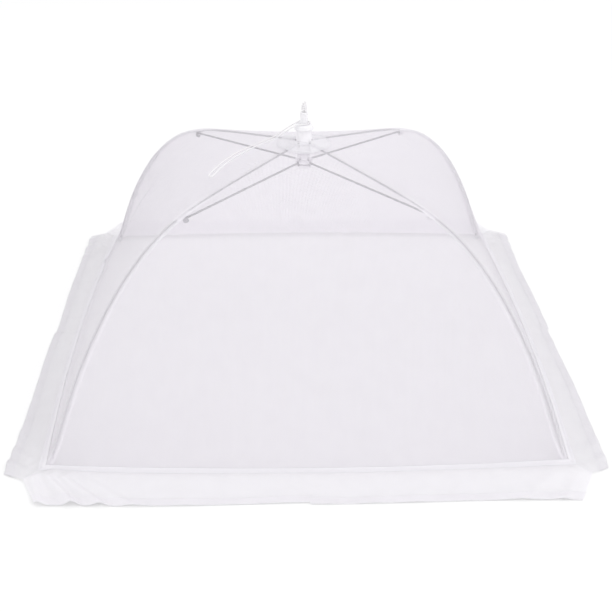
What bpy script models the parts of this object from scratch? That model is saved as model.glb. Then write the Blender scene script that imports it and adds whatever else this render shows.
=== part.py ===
"""Pop-up mesh food cover, open on a table.

Four wire ribs swing from a hub tube and four wire stretchers from a sliding runner below it.
A square mesh canopy lies over the ribs and ends in a skirt that flares out on the table.
Metres, +Z up, origin on the table below the hub, front towards -Y.
"""
import math

import bmesh
import bpy
from mathutils import Matrix, Vector

# Driving dimensions. A name that ends in SHARE or SHARES is a part of another size
GAP = 0.0003
CLOTH = 0.0008
MERGE = 0.00001
OVERRUN = 0.0050

# Wires, and the eyes that they are bent into
RIB_WIRE = 0.0008
STRETCHER_WIRE = 0.0009
HINGE_WIRE = 0.0004
HINGE_RADIUS = 0.0060
RIVET_SHANK = 0.00065
RIB_EYE = HINGE_WIRE + GAP + RIB_WIRE
STRETCHER_EYE = HINGE_WIRE + GAP + STRETCHER_WIRE
CLIP_EYE = RIVET_SHANK + GAP + STRETCHER_WIRE
EYE_TURN = math.radians(250)

# Hub tube, from the height of the ribs' hinge
RIB_PIVOT_Z = 0.2034
GROOVE_HALF = HINGE_WIRE + GAP
GROOVE_FLOOR = HINGE_RADIUS - GROOVE_HALF
GROOVE_WALL = 0.0007
RING_COVER = 0.0012
TUBE_BORE = GROOVE_FLOOR - GROOVE_WALL
TUBE_RADIUS = HINGE_RADIUS + RING_COVER
SLOT_PLAY = 0.0004
SLOT_SWING = 0.0021
TUBE_FOOT = 0.0030
TUBE_HEAD = 0.0111
RIB_SLOT_TOP = RIB_PIVOT_Z + RIB_EYE + RIB_WIRE + SLOT_PLAY
RIB_SLOT_BOTTOM = RIB_PIVOT_Z - RIB_EYE - RIB_WIRE - SLOT_SWING
TUBE_BOTTOM = RIB_SLOT_BOTTOM - TUBE_FOOT
TUBE_TOP = RIB_SLOT_TOP + TUBE_HEAD
EDGE_ROUND = 0.0006

# Cap on the tube, and the cord and knot that come out of it
CAP_OVERHANG = 0.0018
CAP_RADIUS = TUBE_RADIUS + CAP_OVERHANG
CAP_BOTTOM = TUBE_TOP + GAP
CAP_RIM = 0.0018
CAP_DOME = 0.0032
DOME_SHOULDER_SHARE = 0.9
SPIGOT_RADIUS = 0.00345
SPIGOT_HEIGHT = 0.0110
SPIGOT_TOP = CAP_BOTTOM + CAP_RIM + CAP_DOME + SPIGOT_HEIGHT
LIFT_CORD_RADIUS = 0.0007
CORD_BORE = LIFT_CORD_RADIUS + GAP
KNOT_RADIUS = 0.0025
KNOT_NECK = 0.0013
KNOT_STEM = 0.0041
KNOT_BOTTOM = SPIGOT_TOP + GAP
KNOT_Z = KNOT_BOTTOM + KNOT_STEM + math.sqrt(KNOT_RADIUS**2 - KNOT_NECK**2)

# Runner below the tube, with its plug up the tube's bore
NECK_LENGTH = 0.0077
NECK_SET = 0.0015
NECK_RADIUS = TUBE_RADIUS - NECK_SET
NECK_NOTCH = 0.0030
RUNNER_ABOVE_PIVOT = 0.0034
RUNNER_BELOW_PIVOT = 0.0036
RUNNER_COVER = 0.0022
RUNNER_RADIUS = HINGE_RADIUS + RUNNER_COVER
RUNNER_CORE = HINGE_RADIUS - STRETCHER_EYE - STRETCHER_WIRE - GAP
RUNNER_SHOULDER = TUBE_BOTTOM - GAP - NECK_LENGTH
RUNNER_PIVOT_Z = RUNNER_SHOULDER - RUNNER_ABOVE_PIVOT
RUNNER_BOTTOM = RUNNER_PIVOT_Z - RUNNER_BELOW_PIVOT
PLUG_CLEARANCE = 0.0004
PLUG_RADIUS = TUBE_BORE - PLUG_CLEARANCE
PLUG_DEPTH = 0.0044
PLUG_TOP = TUBE_BOTTOM + PLUG_DEPTH

# Centre line of a rib, from the top of its eye to its tip: shares of its reach and of its height
RIB_REACH = 0.3040
RIB_TIP_Z = 0.0022
RIB_TOP_Z = RIB_PIVOT_Z + RIB_EYE
RIB_LINE_SHARES = (
    (0.0000, 1.0000),
    (0.1862, 0.9551),
    (0.3423, 0.9161),
    (0.4742, 0.8707),
    (0.6003, 0.7879),
    (0.7168, 0.6537),
    (0.8144, 0.4874),
    (0.8946, 0.3098),
    (0.9711, 0.0893),
    (1.0000, 0.0000),
)
RIB_STEPS = 20
FINE_STEPS = 40

# Clip at a share of the rib's length: a ferrule, a lug beside the rib's plane, and a rivet
CLIP_SHARE = 0.3745
CLIP_DROP = 0.0037
FERRULE_WALL = 0.0005
FERRULE_BORE = RIB_WIRE + GAP
FERRULE_RADIUS = FERRULE_BORE + FERRULE_WALL
FERRULE_LENGTH = 0.0150
LUG_THICK = 0.0010
LUG_OUTER = FERRULE_RADIUS
LUG_INNER = LUG_OUTER - LUG_THICK
LUG_ROUND = 0.0024
LUG_HALF_WIDTH = 0.0038
LUG_SINK = 0.0002
LUG_TOP = FERRULE_BORE + LUG_SINK
RIVET_HOLE = RIVET_SHANK + GAP
RIVET_HEAD = 0.0017
RIVET_HEAD_THICK = 0.0007
STRETCHER_SHIFT = LUG_OUTER + GAP + STRETCHER_WIRE

# Foot at a rib's tip, and the sleeve that ends above it
FOOT_WALL = 0.0008
FOOT_RADIUS = FERRULE_BORE + FOOT_WALL
FOOT_TOP_Z = 0.0060
TIP_CLEARANCE = 0.0004
SLEEVE_CLEARANCE = 0.0008
SLEEVE_END_Z = FOOT_TOP_Z + SLEEVE_CLEARANCE

# Cloth panels and the patch over their tips
PATCH_RADIUS = 0.0250
PATCH_RINGS = 3
PANEL_TOP_SET = 0.0040
PANEL_TOP_RADIUS = TUBE_RADIUS + PANEL_TOP_SET
PANEL_SAG = 0.0045
PANEL_COLUMNS = 4
HEM_OUT = 0.0035
HEM_BULGE = 0.0080
HEM_BULGE_START_SHARE = 0.62
HEM_Z = 0.0040
HEM_LEAVE_Z = 0.0170
HEM_FALL_SHARES = ((0.36, 0.60), (0.68, 0.26))

# Skirt: its reach past the hem, its fall to the table and the folds at its corners
SKIRT_REACH_FRONT = 0.0485
SKIRT_REACH_SIDE = 0.0335
SKIRT_REACH_CORNER = 0.0165
SKIRT_CORNER_CUT_SHARE = 0.50
SKIRT_FALL_SHARES = ((0.18, 0.45), (0.50, 0.10))
SKIRT_ROWS = 5
RIPPLE = 0.0065
RIPPLE_WAVE = 0.0230
RIPPLE_SPREAD = 0.0340
RIPPLE_ZONE = 0.0700
RIPPLE_RISE_SHARE = 0.4
RIPPLE_COLUMNS = 15
PLAIN_COLUMNS = 3

# Facets
HUB_FACETS = 24
PATCH_FACETS = 32
KNOT_FACETS = 16
PIN_FACETS = 12
CORD_FACETS = 10
WIRE_FACETS = 8
RING_FACETS = 6
DOME_STEPS = 5
CURVE_STEPS = 24
TURNED_CREASE = 40
WIRE_CREASE = 50
CLOTH_CREASE = 60

# Pull cord: a loop that hangs over the cap's rim and lies on the left panel
CORD_RADIUS = 0.0006
CORD_OUT = (
    (0.0047, -0.0009, 0.2236),
    (0.0024, -0.0050, 0.2236),
    (-0.0045, -0.0056, 0.2230),
    (-0.0098, -0.0046, 0.2210),
    (-0.0185, -0.0036, 0.2148),
    (-0.0280, -0.0034, 0.2087),
    (-0.0380, -0.0056, 0.2052),
    (-0.0480, -0.0120, 0.2033),
    (-0.0600, -0.0240, 0.2013),
    (-0.0700, -0.0380, 0.1992),
    (-0.0775, -0.0520, 0.1973),
    (-0.0805, -0.0600, 0.1965),
)
CORD_BACK = (
    (-0.0838, -0.0612, 0.1958),
    (-0.0846, -0.0565, 0.1958),
    (-0.0800, -0.0450, 0.1967),
    (-0.0725, -0.0310, 0.1986),
    (-0.0615, -0.0170, 0.2009),
    (-0.0490, -0.0060, 0.2031),
    (-0.0380, 0.0000, 0.2054),
    (-0.0275, 0.0018, 0.2095),
    (-0.0185, 0.0020, 0.2158),
    (-0.0104, 0.0014, 0.2212),
    (-0.0060, 0.0022, 0.2232),
    (-0.0034, 0.0042, 0.2236),
    (0.0008, 0.0051, 0.2236),
    (0.0041, 0.0031, 0.2236),
    (0.0049, 0.0009, 0.2236),
)
CORD_STEPS = 78

CORNERS = {"back_right": 45, "back_left": 135, "front_left": 225, "front_right": 315}
PANELS = {"right": 0, "back": 90, "left": 180, "front": 270}
HALF_NAMES = {
    ("right", 1): "right_b",
    ("right", -1): "right_f",
    ("back", 1): "back_l",
    ("back", -1): "back_r",
    ("left", 1): "left_f",
    ("left", -1): "left_b",
    ("front", 1): "front_r",
    ("front", -1): "front_l",
}
ROOT_TWO = math.sqrt(2)


# Scene and object helpers


def clear_scene():
    for item in list(bpy.data.objects):
        bpy.data.objects.remove(item, do_unlink=True)


def material(name, colour, roughness, metallic=0.0):
    made = bpy.data.materials.get(name) or bpy.data.materials.new(name)
    made.use_nodes = True
    shader = made.node_tree.nodes["Principled BSDF"]
    shader.inputs["Base Color"].default_value = (*colour, 1)
    shader.inputs["Roughness"].default_value = roughness
    shader.inputs["Metallic"].default_value = metallic
    return made


def white_plastic():
    return material("white_plastic", (0.90, 0.90, 0.91), 0.42)


def steel_wire():
    return material("steel_wire", (0.52, 0.53, 0.55), 0.32, 0.9)


def white_mesh():
    return material("white_mesh", (0.88, 0.87, 0.90), 0.85)


def white_tape():
    return material("white_tape", (0.92, 0.92, 0.93), 0.8)


def white_cord():
    return material("white_cord", (0.91, 0.91, 0.92), 0.75)


def empty(name, location, turn=0.0):
    made = bpy.data.objects.new(name, None)
    made.empty_display_size = HINGE_RADIUS
    made.location = location
    made.rotation_euler = (0, 0, math.radians(turn))
    bpy.context.collection.objects.link(made)
    return made


def put(name, mesh, look, parent=None):
    """Add an object whose mesh is drawn in its parent's frame."""
    made = bpy.data.objects.new(name, mesh)
    if not mesh.materials:
        mesh.materials.append(look)
    made.parent = parent
    bpy.context.collection.objects.link(made)
    return made


def cut(target, tool, operation="DIFFERENCE"):
    """Cut the target with a hidden tool, or fuse the tool to it."""
    tool.hide_render = True
    tool.display_type = "WIRE"
    boolean = target.modifiers.new("cut", "BOOLEAN")
    boolean.operation = operation
    boolean.solver = "EXACT"
    boolean.object = tool


def finished_mesh(name, bm, smooth_angle=None):
    bmesh.ops.remove_doubles(bm, verts=bm.verts, dist=MERGE)
    bmesh.ops.recalc_face_normals(bm, faces=bm.faces)
    mesh = bpy.data.meshes.new(name)
    bm.to_mesh(mesh)
    bm.free()
    if smooth_angle:
        mesh.shade_smooth()
        mesh.set_sharp_from_angle(angle=math.radians(smooth_angle))
    return mesh


# Shape helpers


def turned(name, profile, steps=HUB_FACETS, solid=True):
    """Turn a profile of radius and height about Z; a ring's profile closes on itself."""
    bm = bmesh.new()
    verts = [bm.verts.new((r, 0, z)) for r, z in profile]
    edges = [bm.edges.new(pair) for pair in zip(verts, verts[1:])]
    if not solid:
        edges.append(bm.edges.new((verts[-1], verts[0])))
    bmesh.ops.spin(
        bm,
        geom=verts + edges,
        cent=(0, 0, 0),
        axis=(0, 0, 1),
        angle=math.tau,
        steps=steps,
        use_merge=True,
    )
    return finished_mesh(name, bm, TURNED_CREASE)


def box(name, low, high):
    bm = bmesh.new()
    bmesh.ops.create_cube(bm, size=1)
    low, high = Vector(low), Vector(high)
    size = high - low
    bmesh.ops.scale(bm, vec=size, verts=bm.verts)
    bmesh.ops.translate(bm, vec=(low + high) / 2, verts=bm.verts)
    return finished_mesh(name, bm)


def rings_along(path, radius, sides):
    """Rings of points square to a path that runs close to the XZ plane."""
    rings = []
    for i, point in enumerate(path):
        ahead = path[min(i + 1, len(path) - 1)]
        behind = path[max(i - 1, 0)]
        along = (ahead - behind).normalized()
        side = Vector((0, 1, 0))
        side = (side - along * side.dot(along)).normalized()
        up = along.cross(side)
        ring = []
        for k in range(sides):
            angle = math.tau * (k + 0.5) / sides
            ring.append(point + (side * math.cos(angle) + up * math.sin(angle)) * radius)
        rings.append(ring)
    return rings


def skin(bm, rings):
    """Quads between successive rings; returns the rings' vertices."""
    made = [[bm.verts.new(p) for p in ring] for ring in rings]
    for one, two in zip(made, made[1:]):
        for k in range(len(one)):
            n = (k + 1) % len(one)
            bm.faces.new((one[k], one[n], two[n], two[k]))
    return made


def wire(name, path, radius, sides=WIRE_FACETS):
    bm = bmesh.new()
    made = skin(bm, rings_along(path, radius, sides))
    bm.faces.new(made[0])
    bm.faces.new(made[-1])
    return finished_mesh(name, bm, WIRE_CREASE)


def pipe(name, path, radius, bore, sides=WIRE_FACETS):
    bm = bmesh.new()
    outer = skin(bm, rings_along(path, radius, sides))
    inner = skin(bm, rings_along(path, bore, sides))
    for a, b in ((outer[0], inner[0]), (outer[-1], inner[-1])):
        for k in range(sides):
            n = (k + 1) % sides
            bm.faces.new((a[k], a[n], b[n], b[k]))
    return finished_mesh(name, bm, WIRE_CREASE)


def smooth_curve(points, steps):
    """Even steps along a Catmull-Rom curve through the points."""
    points = [Vector(p) for p in points]
    first = points[0] * 2 - points[1]
    last = points[-1] * 2 - points[-2]
    knots = [first, *points, last]
    fine = []
    for i in range(len(points) - 1):
        a, b, c, d = knots[i : i + 4]
        for k in range(CURVE_STEPS):
            t = k / CURVE_STEPS
            fine.append(
                0.5
                * (
                    b * 2
                    + (c - a) * t
                    + (a * 2 - b * 5 + c * 4 - d) * t * t
                    + (b * 3 - a - c * 3 + d) * t * t * t
                )
            )
    fine.append(points[-1])
    return even_steps(fine, steps)


def even_steps(fine, steps):
    lengths = [0.0]
    for a, b in zip(fine, fine[1:]):
        lengths.append(lengths[-1] + (b - a).length)
    made = []
    i = 0
    for k in range(steps + 1):
        want = lengths[-1] * k / steps
        while i < len(fine) - 2 and lengths[i + 1] < want:
            i += 1
        span = lengths[i + 1] - lengths[i]
        made.append(fine[i].lerp(fine[i + 1], (want - lengths[i]) / span))
    return made


def eye(centre, radius, start, turn, steps=WIRE_FACETS):
    """Points round an eye in the XZ plane, from angle start over the given turn."""
    made = []
    for k in range(1, steps + 1):
        angle = start + turn * k / steps
        made.append(centre + Vector((math.cos(angle), 0, math.sin(angle))) * radius)
    return made


# Lines that the pieces share, in a rib's own plane: X away from the hub, Z up


def rib_points():
    reach = RIB_REACH - HINGE_RADIUS
    height = RIB_TOP_Z - RIB_TIP_Z
    return [
        (HINGE_RADIUS + reach * out, 0, RIB_TIP_Z + height * up)
        for out, up in RIB_LINE_SHARES
    ]


RIB_LINE = smooth_curve(rib_points(), RIB_STEPS)
RIB_PIVOT = Vector((HINGE_RADIUS, 0, RIB_PIVOT_Z))
RUNNER_PIVOT = Vector((HINGE_RADIUS, 0, RUNNER_PIVOT_Z))


def rib_between(keep):
    """The part of the rib's line that keep accepts, with its corners and its own two ends."""
    fine = []
    for a, b in zip(RIB_LINE, RIB_LINE[1:]):
        fine += [a.lerp(b, k / FINE_STEPS) for k in range(FINE_STEPS)]
    fine.append(RIB_LINE[-1])
    kept = [i for i, point in enumerate(fine) if keep(point)]
    corners = [i for i in kept[1:-1] if i % FINE_STEPS == 0]
    return [fine[i] for i in (kept[0], *corners, kept[-1])]


def clip_frame():
    """The point of the rib that the clip is on, and the rib's direction there."""
    spans = [(b - a).length for a, b in zip(RIB_LINE, RIB_LINE[1:])]
    left = sum(spans) * CLIP_SHARE
    for a, b, span in zip(RIB_LINE, RIB_LINE[1:], spans):
        if left <= span:
            return a.lerp(b, left / span), (b - a).normalized()
        left -= span
    raise ValueError("the clip lies past the rib's tip")


CLIP_CENTRE, CLIP_ALONG = clip_frame()
CLIP_POINT = CLIP_CENTRE + Vector((CLIP_ALONG.z, 0, -CLIP_ALONG.x)) * CLIP_DROP


def beyond_clip(point):
    return (point - CLIP_CENTRE).dot(CLIP_ALONG)


# Hub and runner


def edge_rounded(radius, z):
    """Two points that break a lower corner at the given radius and height."""
    return (radius - EDGE_ROUND, z), (radius, z + EDGE_ROUND)


def make_hub_tube():
    profile = [
        (TUBE_BORE, TUBE_BOTTOM),
        *edge_rounded(TUBE_RADIUS, TUBE_BOTTOM),
        (TUBE_RADIUS, RIB_PIVOT_Z - GROOVE_HALF),
        (GROOVE_FLOOR, RIB_PIVOT_Z - GROOVE_HALF),
        (GROOVE_FLOOR, RIB_PIVOT_Z + GROOVE_HALF),
        (TUBE_RADIUS, RIB_PIVOT_Z + GROOVE_HALF),
        (TUBE_RADIUS, TUBE_TOP),
        (TUBE_BORE, TUBE_TOP),
    ]
    tube = put("hub_tube", turned("hub_tube", profile, solid=False), white_plastic())
    half = RIB_WIRE + GAP
    slot = box(
        "rib_slot",
        (-TUBE_RADIUS - OVERRUN, -half, RIB_SLOT_BOTTOM),
        (TUBE_RADIUS + OVERRUN, half, RIB_SLOT_TOP),
    )
    for corner in ("back_right", "back_left"):
        turn = CORNERS[corner]
        tool = put(f"rib_slot_{turn}", slot, white_plastic())
        tool.rotation_euler = (0, 0, math.radians(turn))
        cut(tube, tool)


def make_hub_cap():
    rim_top = CAP_BOTTOM + CAP_RIM
    dome_top = rim_top + CAP_DOME
    profile = [(CORD_BORE, CAP_BOTTOM), (CAP_RADIUS, CAP_BOTTOM), (CAP_RADIUS, rim_top)]
    across = CAP_RADIUS - SPIGOT_RADIUS
    for k in range(1, DOME_STEPS):
        angle = math.pi / 2 * k / DOME_STEPS
        profile.append(
            (
                SPIGOT_RADIUS + across * math.cos(angle),
                rim_top + CAP_DOME * math.sin(angle) * DOME_SHOULDER_SHARE,
            )
        )
    profile += [
        (SPIGOT_RADIUS, dome_top),
        (SPIGOT_RADIUS, SPIGOT_TOP - EDGE_ROUND),
        (SPIGOT_RADIUS - EDGE_ROUND, SPIGOT_TOP),
        (CORD_BORE, SPIGOT_TOP),
    ]
    put("hub_cap", turned("hub_cap", profile, solid=False), white_plastic())


def ring_mesh(name):
    profile = [
        (
            HINGE_RADIUS + HINGE_WIRE * math.cos(math.tau * k / RING_FACETS),
            HINGE_WIRE * math.sin(math.tau * k / RING_FACETS),
        )
        for k in range(RING_FACETS)
    ]
    return turned(name, profile, solid=False)


def make_runner(carrier):
    """Drawn about the carrier's origin, which lies at the height of the stretchers' hinge."""
    z = {
        "bottom": RUNNER_BOTTOM - RUNNER_PIVOT_Z,
        "shoulder": RUNNER_SHOULDER - RUNNER_PIVOT_Z,
        "neck": TUBE_BOTTOM - GAP - RUNNER_PIVOT_Z,
        "plug": PLUG_TOP - RUNNER_PIVOT_Z,
    }
    profile = [
        (0, z["bottom"]),
        *edge_rounded(RUNNER_RADIUS, z["bottom"]),
        (RUNNER_RADIUS, -GROOVE_HALF),
        (GROOVE_FLOOR, -GROOVE_HALF),
        (GROOVE_FLOOR, GROOVE_HALF),
        (RUNNER_RADIUS, GROOVE_HALF),
        (RUNNER_RADIUS, z["shoulder"]),
        (NECK_RADIUS, z["shoulder"]),
        (NECK_RADIUS, z["neck"]),
        (PLUG_RADIUS, z["neck"]),
        (PLUG_RADIUS, z["plug"] - EDGE_ROUND),
        (PLUG_RADIUS - EDGE_ROUND, z["plug"]),
        (0, z["plug"]),
    ]
    runner = put("runner", turned("runner", profile), white_plastic(), carrier)
    half = STRETCHER_WIRE + GAP
    slot = box(
        "stretcher_slot",
        (RUNNER_CORE, -half, z["bottom"] - OVERRUN),
        (RUNNER_RADIUS + OVERRUN, half, z["shoulder"] + NECK_NOTCH),
    )
    for turn in CORNERS.values():
        tool = put(f"stretcher_slot_{turn}", slot, white_plastic(), carrier)
        tool.rotation_euler = (0, 0, math.radians(turn))
        cut(runner, tool)
    put("stretcher_ring", ring_mesh("stretcher_ring"), steel_wire(), carrier)


def make_cord_through_hub():
    low = PLUG_TOP + GAP
    lift = [
        (0, low),
        (LIFT_CORD_RADIUS, low),
        (LIFT_CORD_RADIUS, SPIGOT_TOP),
        (0, SPIGOT_TOP),
    ]
    put("lift_cord", turned("lift_cord", lift, CORD_FACETS), white_cord())
    start = math.asin(KNOT_NECK / KNOT_RADIUS) - math.pi / 2
    profile = [(0, KNOT_BOTTOM), (KNOT_NECK, KNOT_BOTTOM)]
    for k in range(WIRE_FACETS + 1):
        angle = start + (math.pi / 2 - start) * k / WIRE_FACETS
        profile.append(
            (KNOT_RADIUS * math.cos(angle), KNOT_Z + KNOT_RADIUS * math.sin(angle))
        )
    put("cord_knot", turned("cord_knot", profile, KNOT_FACETS), white_cord())


def make_crown_patch():
    """A round patch of closer cloth over the panels' tips, with a hole for the tube."""
    lift = cloth_lift(rib_direction(1)) + CLOTH / 2 + GAP
    inner = TUBE_RADIUS + GAP
    radii = [inner + (PATCH_RADIUS - inner) * k / PATCH_RINGS for k in range(PATCH_RINGS + 1)]
    low = [(r, rib_height(r) + lift) for r in radii]
    high = [(r, z + CLOTH) for r, z in reversed(low)]
    patch = turned("crown_patch", low + high, PATCH_FACETS, solid=False)
    put("crown_patch", patch, white_tape())


# Ribs and stretchers, drawn about their hinge in the rib's own plane


def make_rib(corner, carrier):
    path = list(reversed(eye(RIB_PIVOT, RIB_EYE, math.pi / 2, EYE_TURN))) + RIB_LINE
    mesh = bpy.data.meshes.get("rib") or wire(
        "rib", [p - RIB_PIVOT for p in path], RIB_WIRE
    )
    put(f"rib_{corner}", mesh, steel_wire(), carrier)


def make_clip(corner, carrier):
    half = FERRULE_LENGTH / 2
    line = rib_between(lambda p: abs(beyond_clip(p)) <= half)
    ferrule = bpy.data.meshes.get("ferrule") or pipe(
        "ferrule", [p - RIB_PIVOT for p in line], FERRULE_RADIUS, FERRULE_BORE
    )
    clip = put(f"rib_clip_{corner}", ferrule, white_plastic(), carrier)
    lug = bpy.data.meshes.get("lug") or lug_mesh()
    hole = bpy.data.meshes.get("lug_hole") or lug_hole_mesh()
    cut(clip, put(f"lug_{corner}", lug, white_plastic(), carrier), "UNION")
    cut(clip, put(f"lug_hole_{corner}", hole, white_plastic(), carrier))


def lug_mesh():
    """A plate beside the rib's plane, from the ferrule down round the pivot."""
    along = CLIP_ALONG
    down = (CLIP_POINT - CLIP_CENTRE).normalized()
    outline = [CLIP_CENTRE - along * LUG_HALF_WIDTH + down * LUG_TOP]
    for k in range(WIRE_FACETS + 1):
        angle = math.pi * k / WIRE_FACETS
        outline.append(
            CLIP_POINT
            - along * math.cos(angle) * LUG_ROUND
            + down * math.sin(angle) * LUG_ROUND
        )
    outline.append(CLIP_CENTRE + along * LUG_HALF_WIDTH + down * LUG_TOP)
    bm = bmesh.new()
    sides = []
    for y in (LUG_INNER, LUG_OUTER):
        sides.append([bm.verts.new(p - RIB_PIVOT + Vector((0, y, 0))) for p in outline])
        bm.faces.new(sides[-1])
    count = len(outline)
    for k in range(count):
        n = (k + 1) % count
        bm.faces.new((sides[0][k], sides[0][n], sides[1][n], sides[1][k]))
    return finished_mesh("lug", bm)


def lug_hole_mesh():
    reach = LUG_OUTER + OVERRUN
    profile = [(0, -reach), (RIVET_HOLE, -reach), (RIVET_HOLE, reach), (0, reach)]
    mesh = turned("lug_hole", profile, PIN_FACETS)
    mesh.transform(Matrix.Rotation(math.pi / 2, 4, "X"))
    mesh.transform(Matrix.Translation(CLIP_POINT - RIB_PIVOT))
    return mesh


def make_sleeve(corner, carrier):
    start = FERRULE_LENGTH / 2 + GAP
    line = rib_between(lambda p: beyond_clip(p) > start and p.z > SLEEVE_END_Z)
    mesh = bpy.data.meshes.get("rib_sleeve") or pipe(
        "rib_sleeve", [p - RIB_PIVOT for p in line], FERRULE_RADIUS, FERRULE_BORE
    )
    put(f"rib_sleeve_{corner}", mesh, white_tape(), carrier)


def make_foot(corner, carrier):
    """A plastic tip on the rib's end, cut flat on the table."""
    tip = RIB_LINE[-1]
    along = (RIB_LINE[-1] - RIB_LINE[-2]).normalized()
    top = tip - along * ((FOOT_TOP_Z - tip.z) / -along.z)
    bottom = tip + along * ((tip.z + OVERRUN) / -along.z)
    foot_mesh = bpy.data.meshes.get("rib_foot") or wire(
        "rib_foot", [top - RIB_PIVOT, bottom - RIB_PIVOT], FOOT_RADIUS, PIN_FACETS
    )
    foot = put(f"rib_foot_{corner}", foot_mesh, white_plastic(), carrier)
    end = tip + along * TIP_CLEARANCE
    channel = bpy.data.meshes.get("foot_channel") or wire(
        "foot_channel",
        [top - along * OVERRUN - RIB_PIVOT, end - RIB_PIVOT],
        FERRULE_BORE,
    )
    reach = FOOT_RADIUS + OVERRUN
    below = bpy.data.meshes.get("foot_below") or box(
        "foot_below",
        Vector((tip.x - reach, -reach, -reach)) - RIB_PIVOT,
        Vector((tip.x + reach, reach, 0)) - RIB_PIVOT,
    )
    cut(foot, put(f"foot_channel_{corner}", channel, white_plastic(), carrier))
    cut(foot, put(f"foot_below_{corner}", below, white_plastic(), carrier))


def stretcher_path():
    """Centre line from the eye at the runner to the eye at the clip, which lies to one side."""
    along = (CLIP_POINT - RUNNER_PIVOT).normalized()
    up = Vector((-along.z, 0, along.x))
    lean = math.atan2(up.z, up.x)
    inner = eye(RUNNER_PIVOT, STRETCHER_EYE, lean, EYE_TURN)
    outer = eye(CLIP_POINT, CLIP_EYE, lean, -EYE_TURN)
    shift = Vector((0, STRETCHER_SHIFT, 0))
    start = RUNNER_PIVOT + up * STRETCHER_EYE
    end = CLIP_POINT + up * CLIP_EYE + shift
    straight = [start.lerp(end, k / 4) for k in range(5)]
    return list(reversed(inner)) + straight + [p + shift for p in outer]


def make_stretcher(corner, carrier):
    mesh = bpy.data.meshes.get("stretcher") or wire(
        "stretcher", [p - RUNNER_PIVOT for p in stretcher_path()], STRETCHER_WIRE
    )
    put(f"stretcher_{corner}", mesh, steel_wire(), carrier)
    rivet = bpy.data.meshes.get("rivet") or rivet_mesh()
    put(f"rivet_{corner}", rivet, steel_wire(), carrier)


def rivet_mesh():
    """A shank through the clip-side eye and a head on the far side."""
    low = LUG_OUTER + GAP
    seat = STRETCHER_SHIFT + STRETCHER_WIRE + GAP
    profile = [
        (0, low),
        (RIVET_SHANK, low),
        (RIVET_SHANK, seat),
        (RIVET_HEAD, seat),
        (RIVET_HEAD, seat + RIVET_HEAD_THICK / 2),
        (RIVET_HEAD / 2, seat + RIVET_HEAD_THICK),
        (0, seat + RIVET_HEAD_THICK),
    ]
    mesh = turned("rivet", profile, PIN_FACETS)
    mesh.transform(Matrix.Rotation(-math.pi / 2, 4, "X"))
    mesh.transform(Matrix.Translation(CLIP_POINT - RUNNER_PIVOT))
    return mesh


# Cloth, drawn for one half of a panel: X is the distance out to the panel, Y along its hem


def rib_direction(i):
    ahead = RIB_LINE[min(i + 1, len(RIB_LINE) - 1)]
    return (ahead - RIB_LINE[max(i - 1, 0)]).normalized()


def rib_height(radius):
    for a, b in zip(RIB_LINE, RIB_LINE[1:]):
        if b.x >= radius:
            return a.lerp(b, (radius - a.x) / (b.x - a.x)).z
    return RIB_LINE[-1].z


def cloth_lift(along):
    """How far the cloth's ridge stands off the rib, so that its two sides clear the ferrule."""
    off_rib = Vector((-along.z, 0, along.x))
    across_panel = Vector((1, -1, 0)).normalized()
    off_cloth = along.cross(across_panel).normalized()
    clear = FERRULE_RADIUS + GAP + CLOTH / 2
    return clear / abs(off_cloth.dot(off_rib))


def panel_line():
    """Middle of the cloth's thickness as distance out and height, top first."""
    ridge = []
    for i, point in enumerate(RIB_LINE):
        along = rib_direction(i)
        ridge.append(point + Vector((-along.z, 0, along.x)) * cloth_lift(along))
    for i in range(len(ridge) - 1):
        if ridge[i].x < PANEL_TOP_RADIUS < ridge[i + 1].x:
            share = (PANEL_TOP_RADIUS - ridge[i].x) / (ridge[i + 1].x - ridge[i].x)
            ridge[i] = ridge[i].lerp(ridge[i + 1], share)
    on_rib = [p for p in ridge if p.x > PANEL_TOP_RADIUS - MERGE and p.z > HEM_LEAVE_Z]
    line = [Vector((p.x / ROOT_TWO, 0, p.z)) for p in on_rib]
    leave = line[-1]
    hem = Vector((RIB_LINE[-1].x / ROOT_TWO + HEM_OUT, 0, HEM_Z))
    for out, up in HEM_FALL_SHARES:
        x = leave.x + (hem.x - leave.x) * out
        line.append(Vector((x, 0, hem.z + (leave.z - hem.z) * up)))
    return [*line, hem]


PANEL_LINE = panel_line()


def line_normals(line):
    normals = []
    for i in range(len(line)):
        along = line[min(i + 1, len(line) - 1)] - line[max(i - 1, 0)]
        normals.append(Vector((-along.z, 0, along.x)).normalized())
    return normals


def cloth_mesh(name, line, shares, side, hem_end, shape):
    """A sheet CLOTH thick: the line swept from the panel's middle to its rib or corner."""
    bm = bmesh.new()
    normals = line_normals(line)
    layers = []
    for level in (0.5, -0.5):
        grid = []
        for i, (point, normal) in enumerate(zip(line, normals)):
            base = point + normal * CLOTH * level
            far = hem_end(base.x)
            row = []
            for share in shares:
                across = GAP / 2 + (far - GAP / 2) * share
                moved = base + shape(i / (len(line) - 1), share, far - across, normal)
                if share == 1:
                    across = hem_end(moved.x)
                row.append(bm.verts.new((moved.x, across * side, moved.z)))
            grid.append(row)
        layers.append(grid)
    for grid in layers:
        for one, two in zip(grid, grid[1:]):
            for k in range(len(one) - 1):
                bm.faces.new((one[k], one[k + 1], two[k + 1], two[k]))
    upper, lower = layers
    rims = (
        (upper[0], lower[0]),
        (upper[-1], lower[-1]),
        ([row[0] for row in upper], [row[0] for row in lower]),
        ([row[-1] for row in upper], [row[-1] for row in lower]),
    )
    for one, two in rims:
        for k in range(len(one) - 1):
            bm.faces.new((one[k], one[k + 1], two[k + 1], two[k]))
    return finished_mesh(name, bm, CLOTH_CREASE)


def rib_side(distance):
    """How far along the hem the cloth runs before it meets its neighbour over the rib."""
    return distance - GAP / 2 * ROOT_TWO


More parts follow.
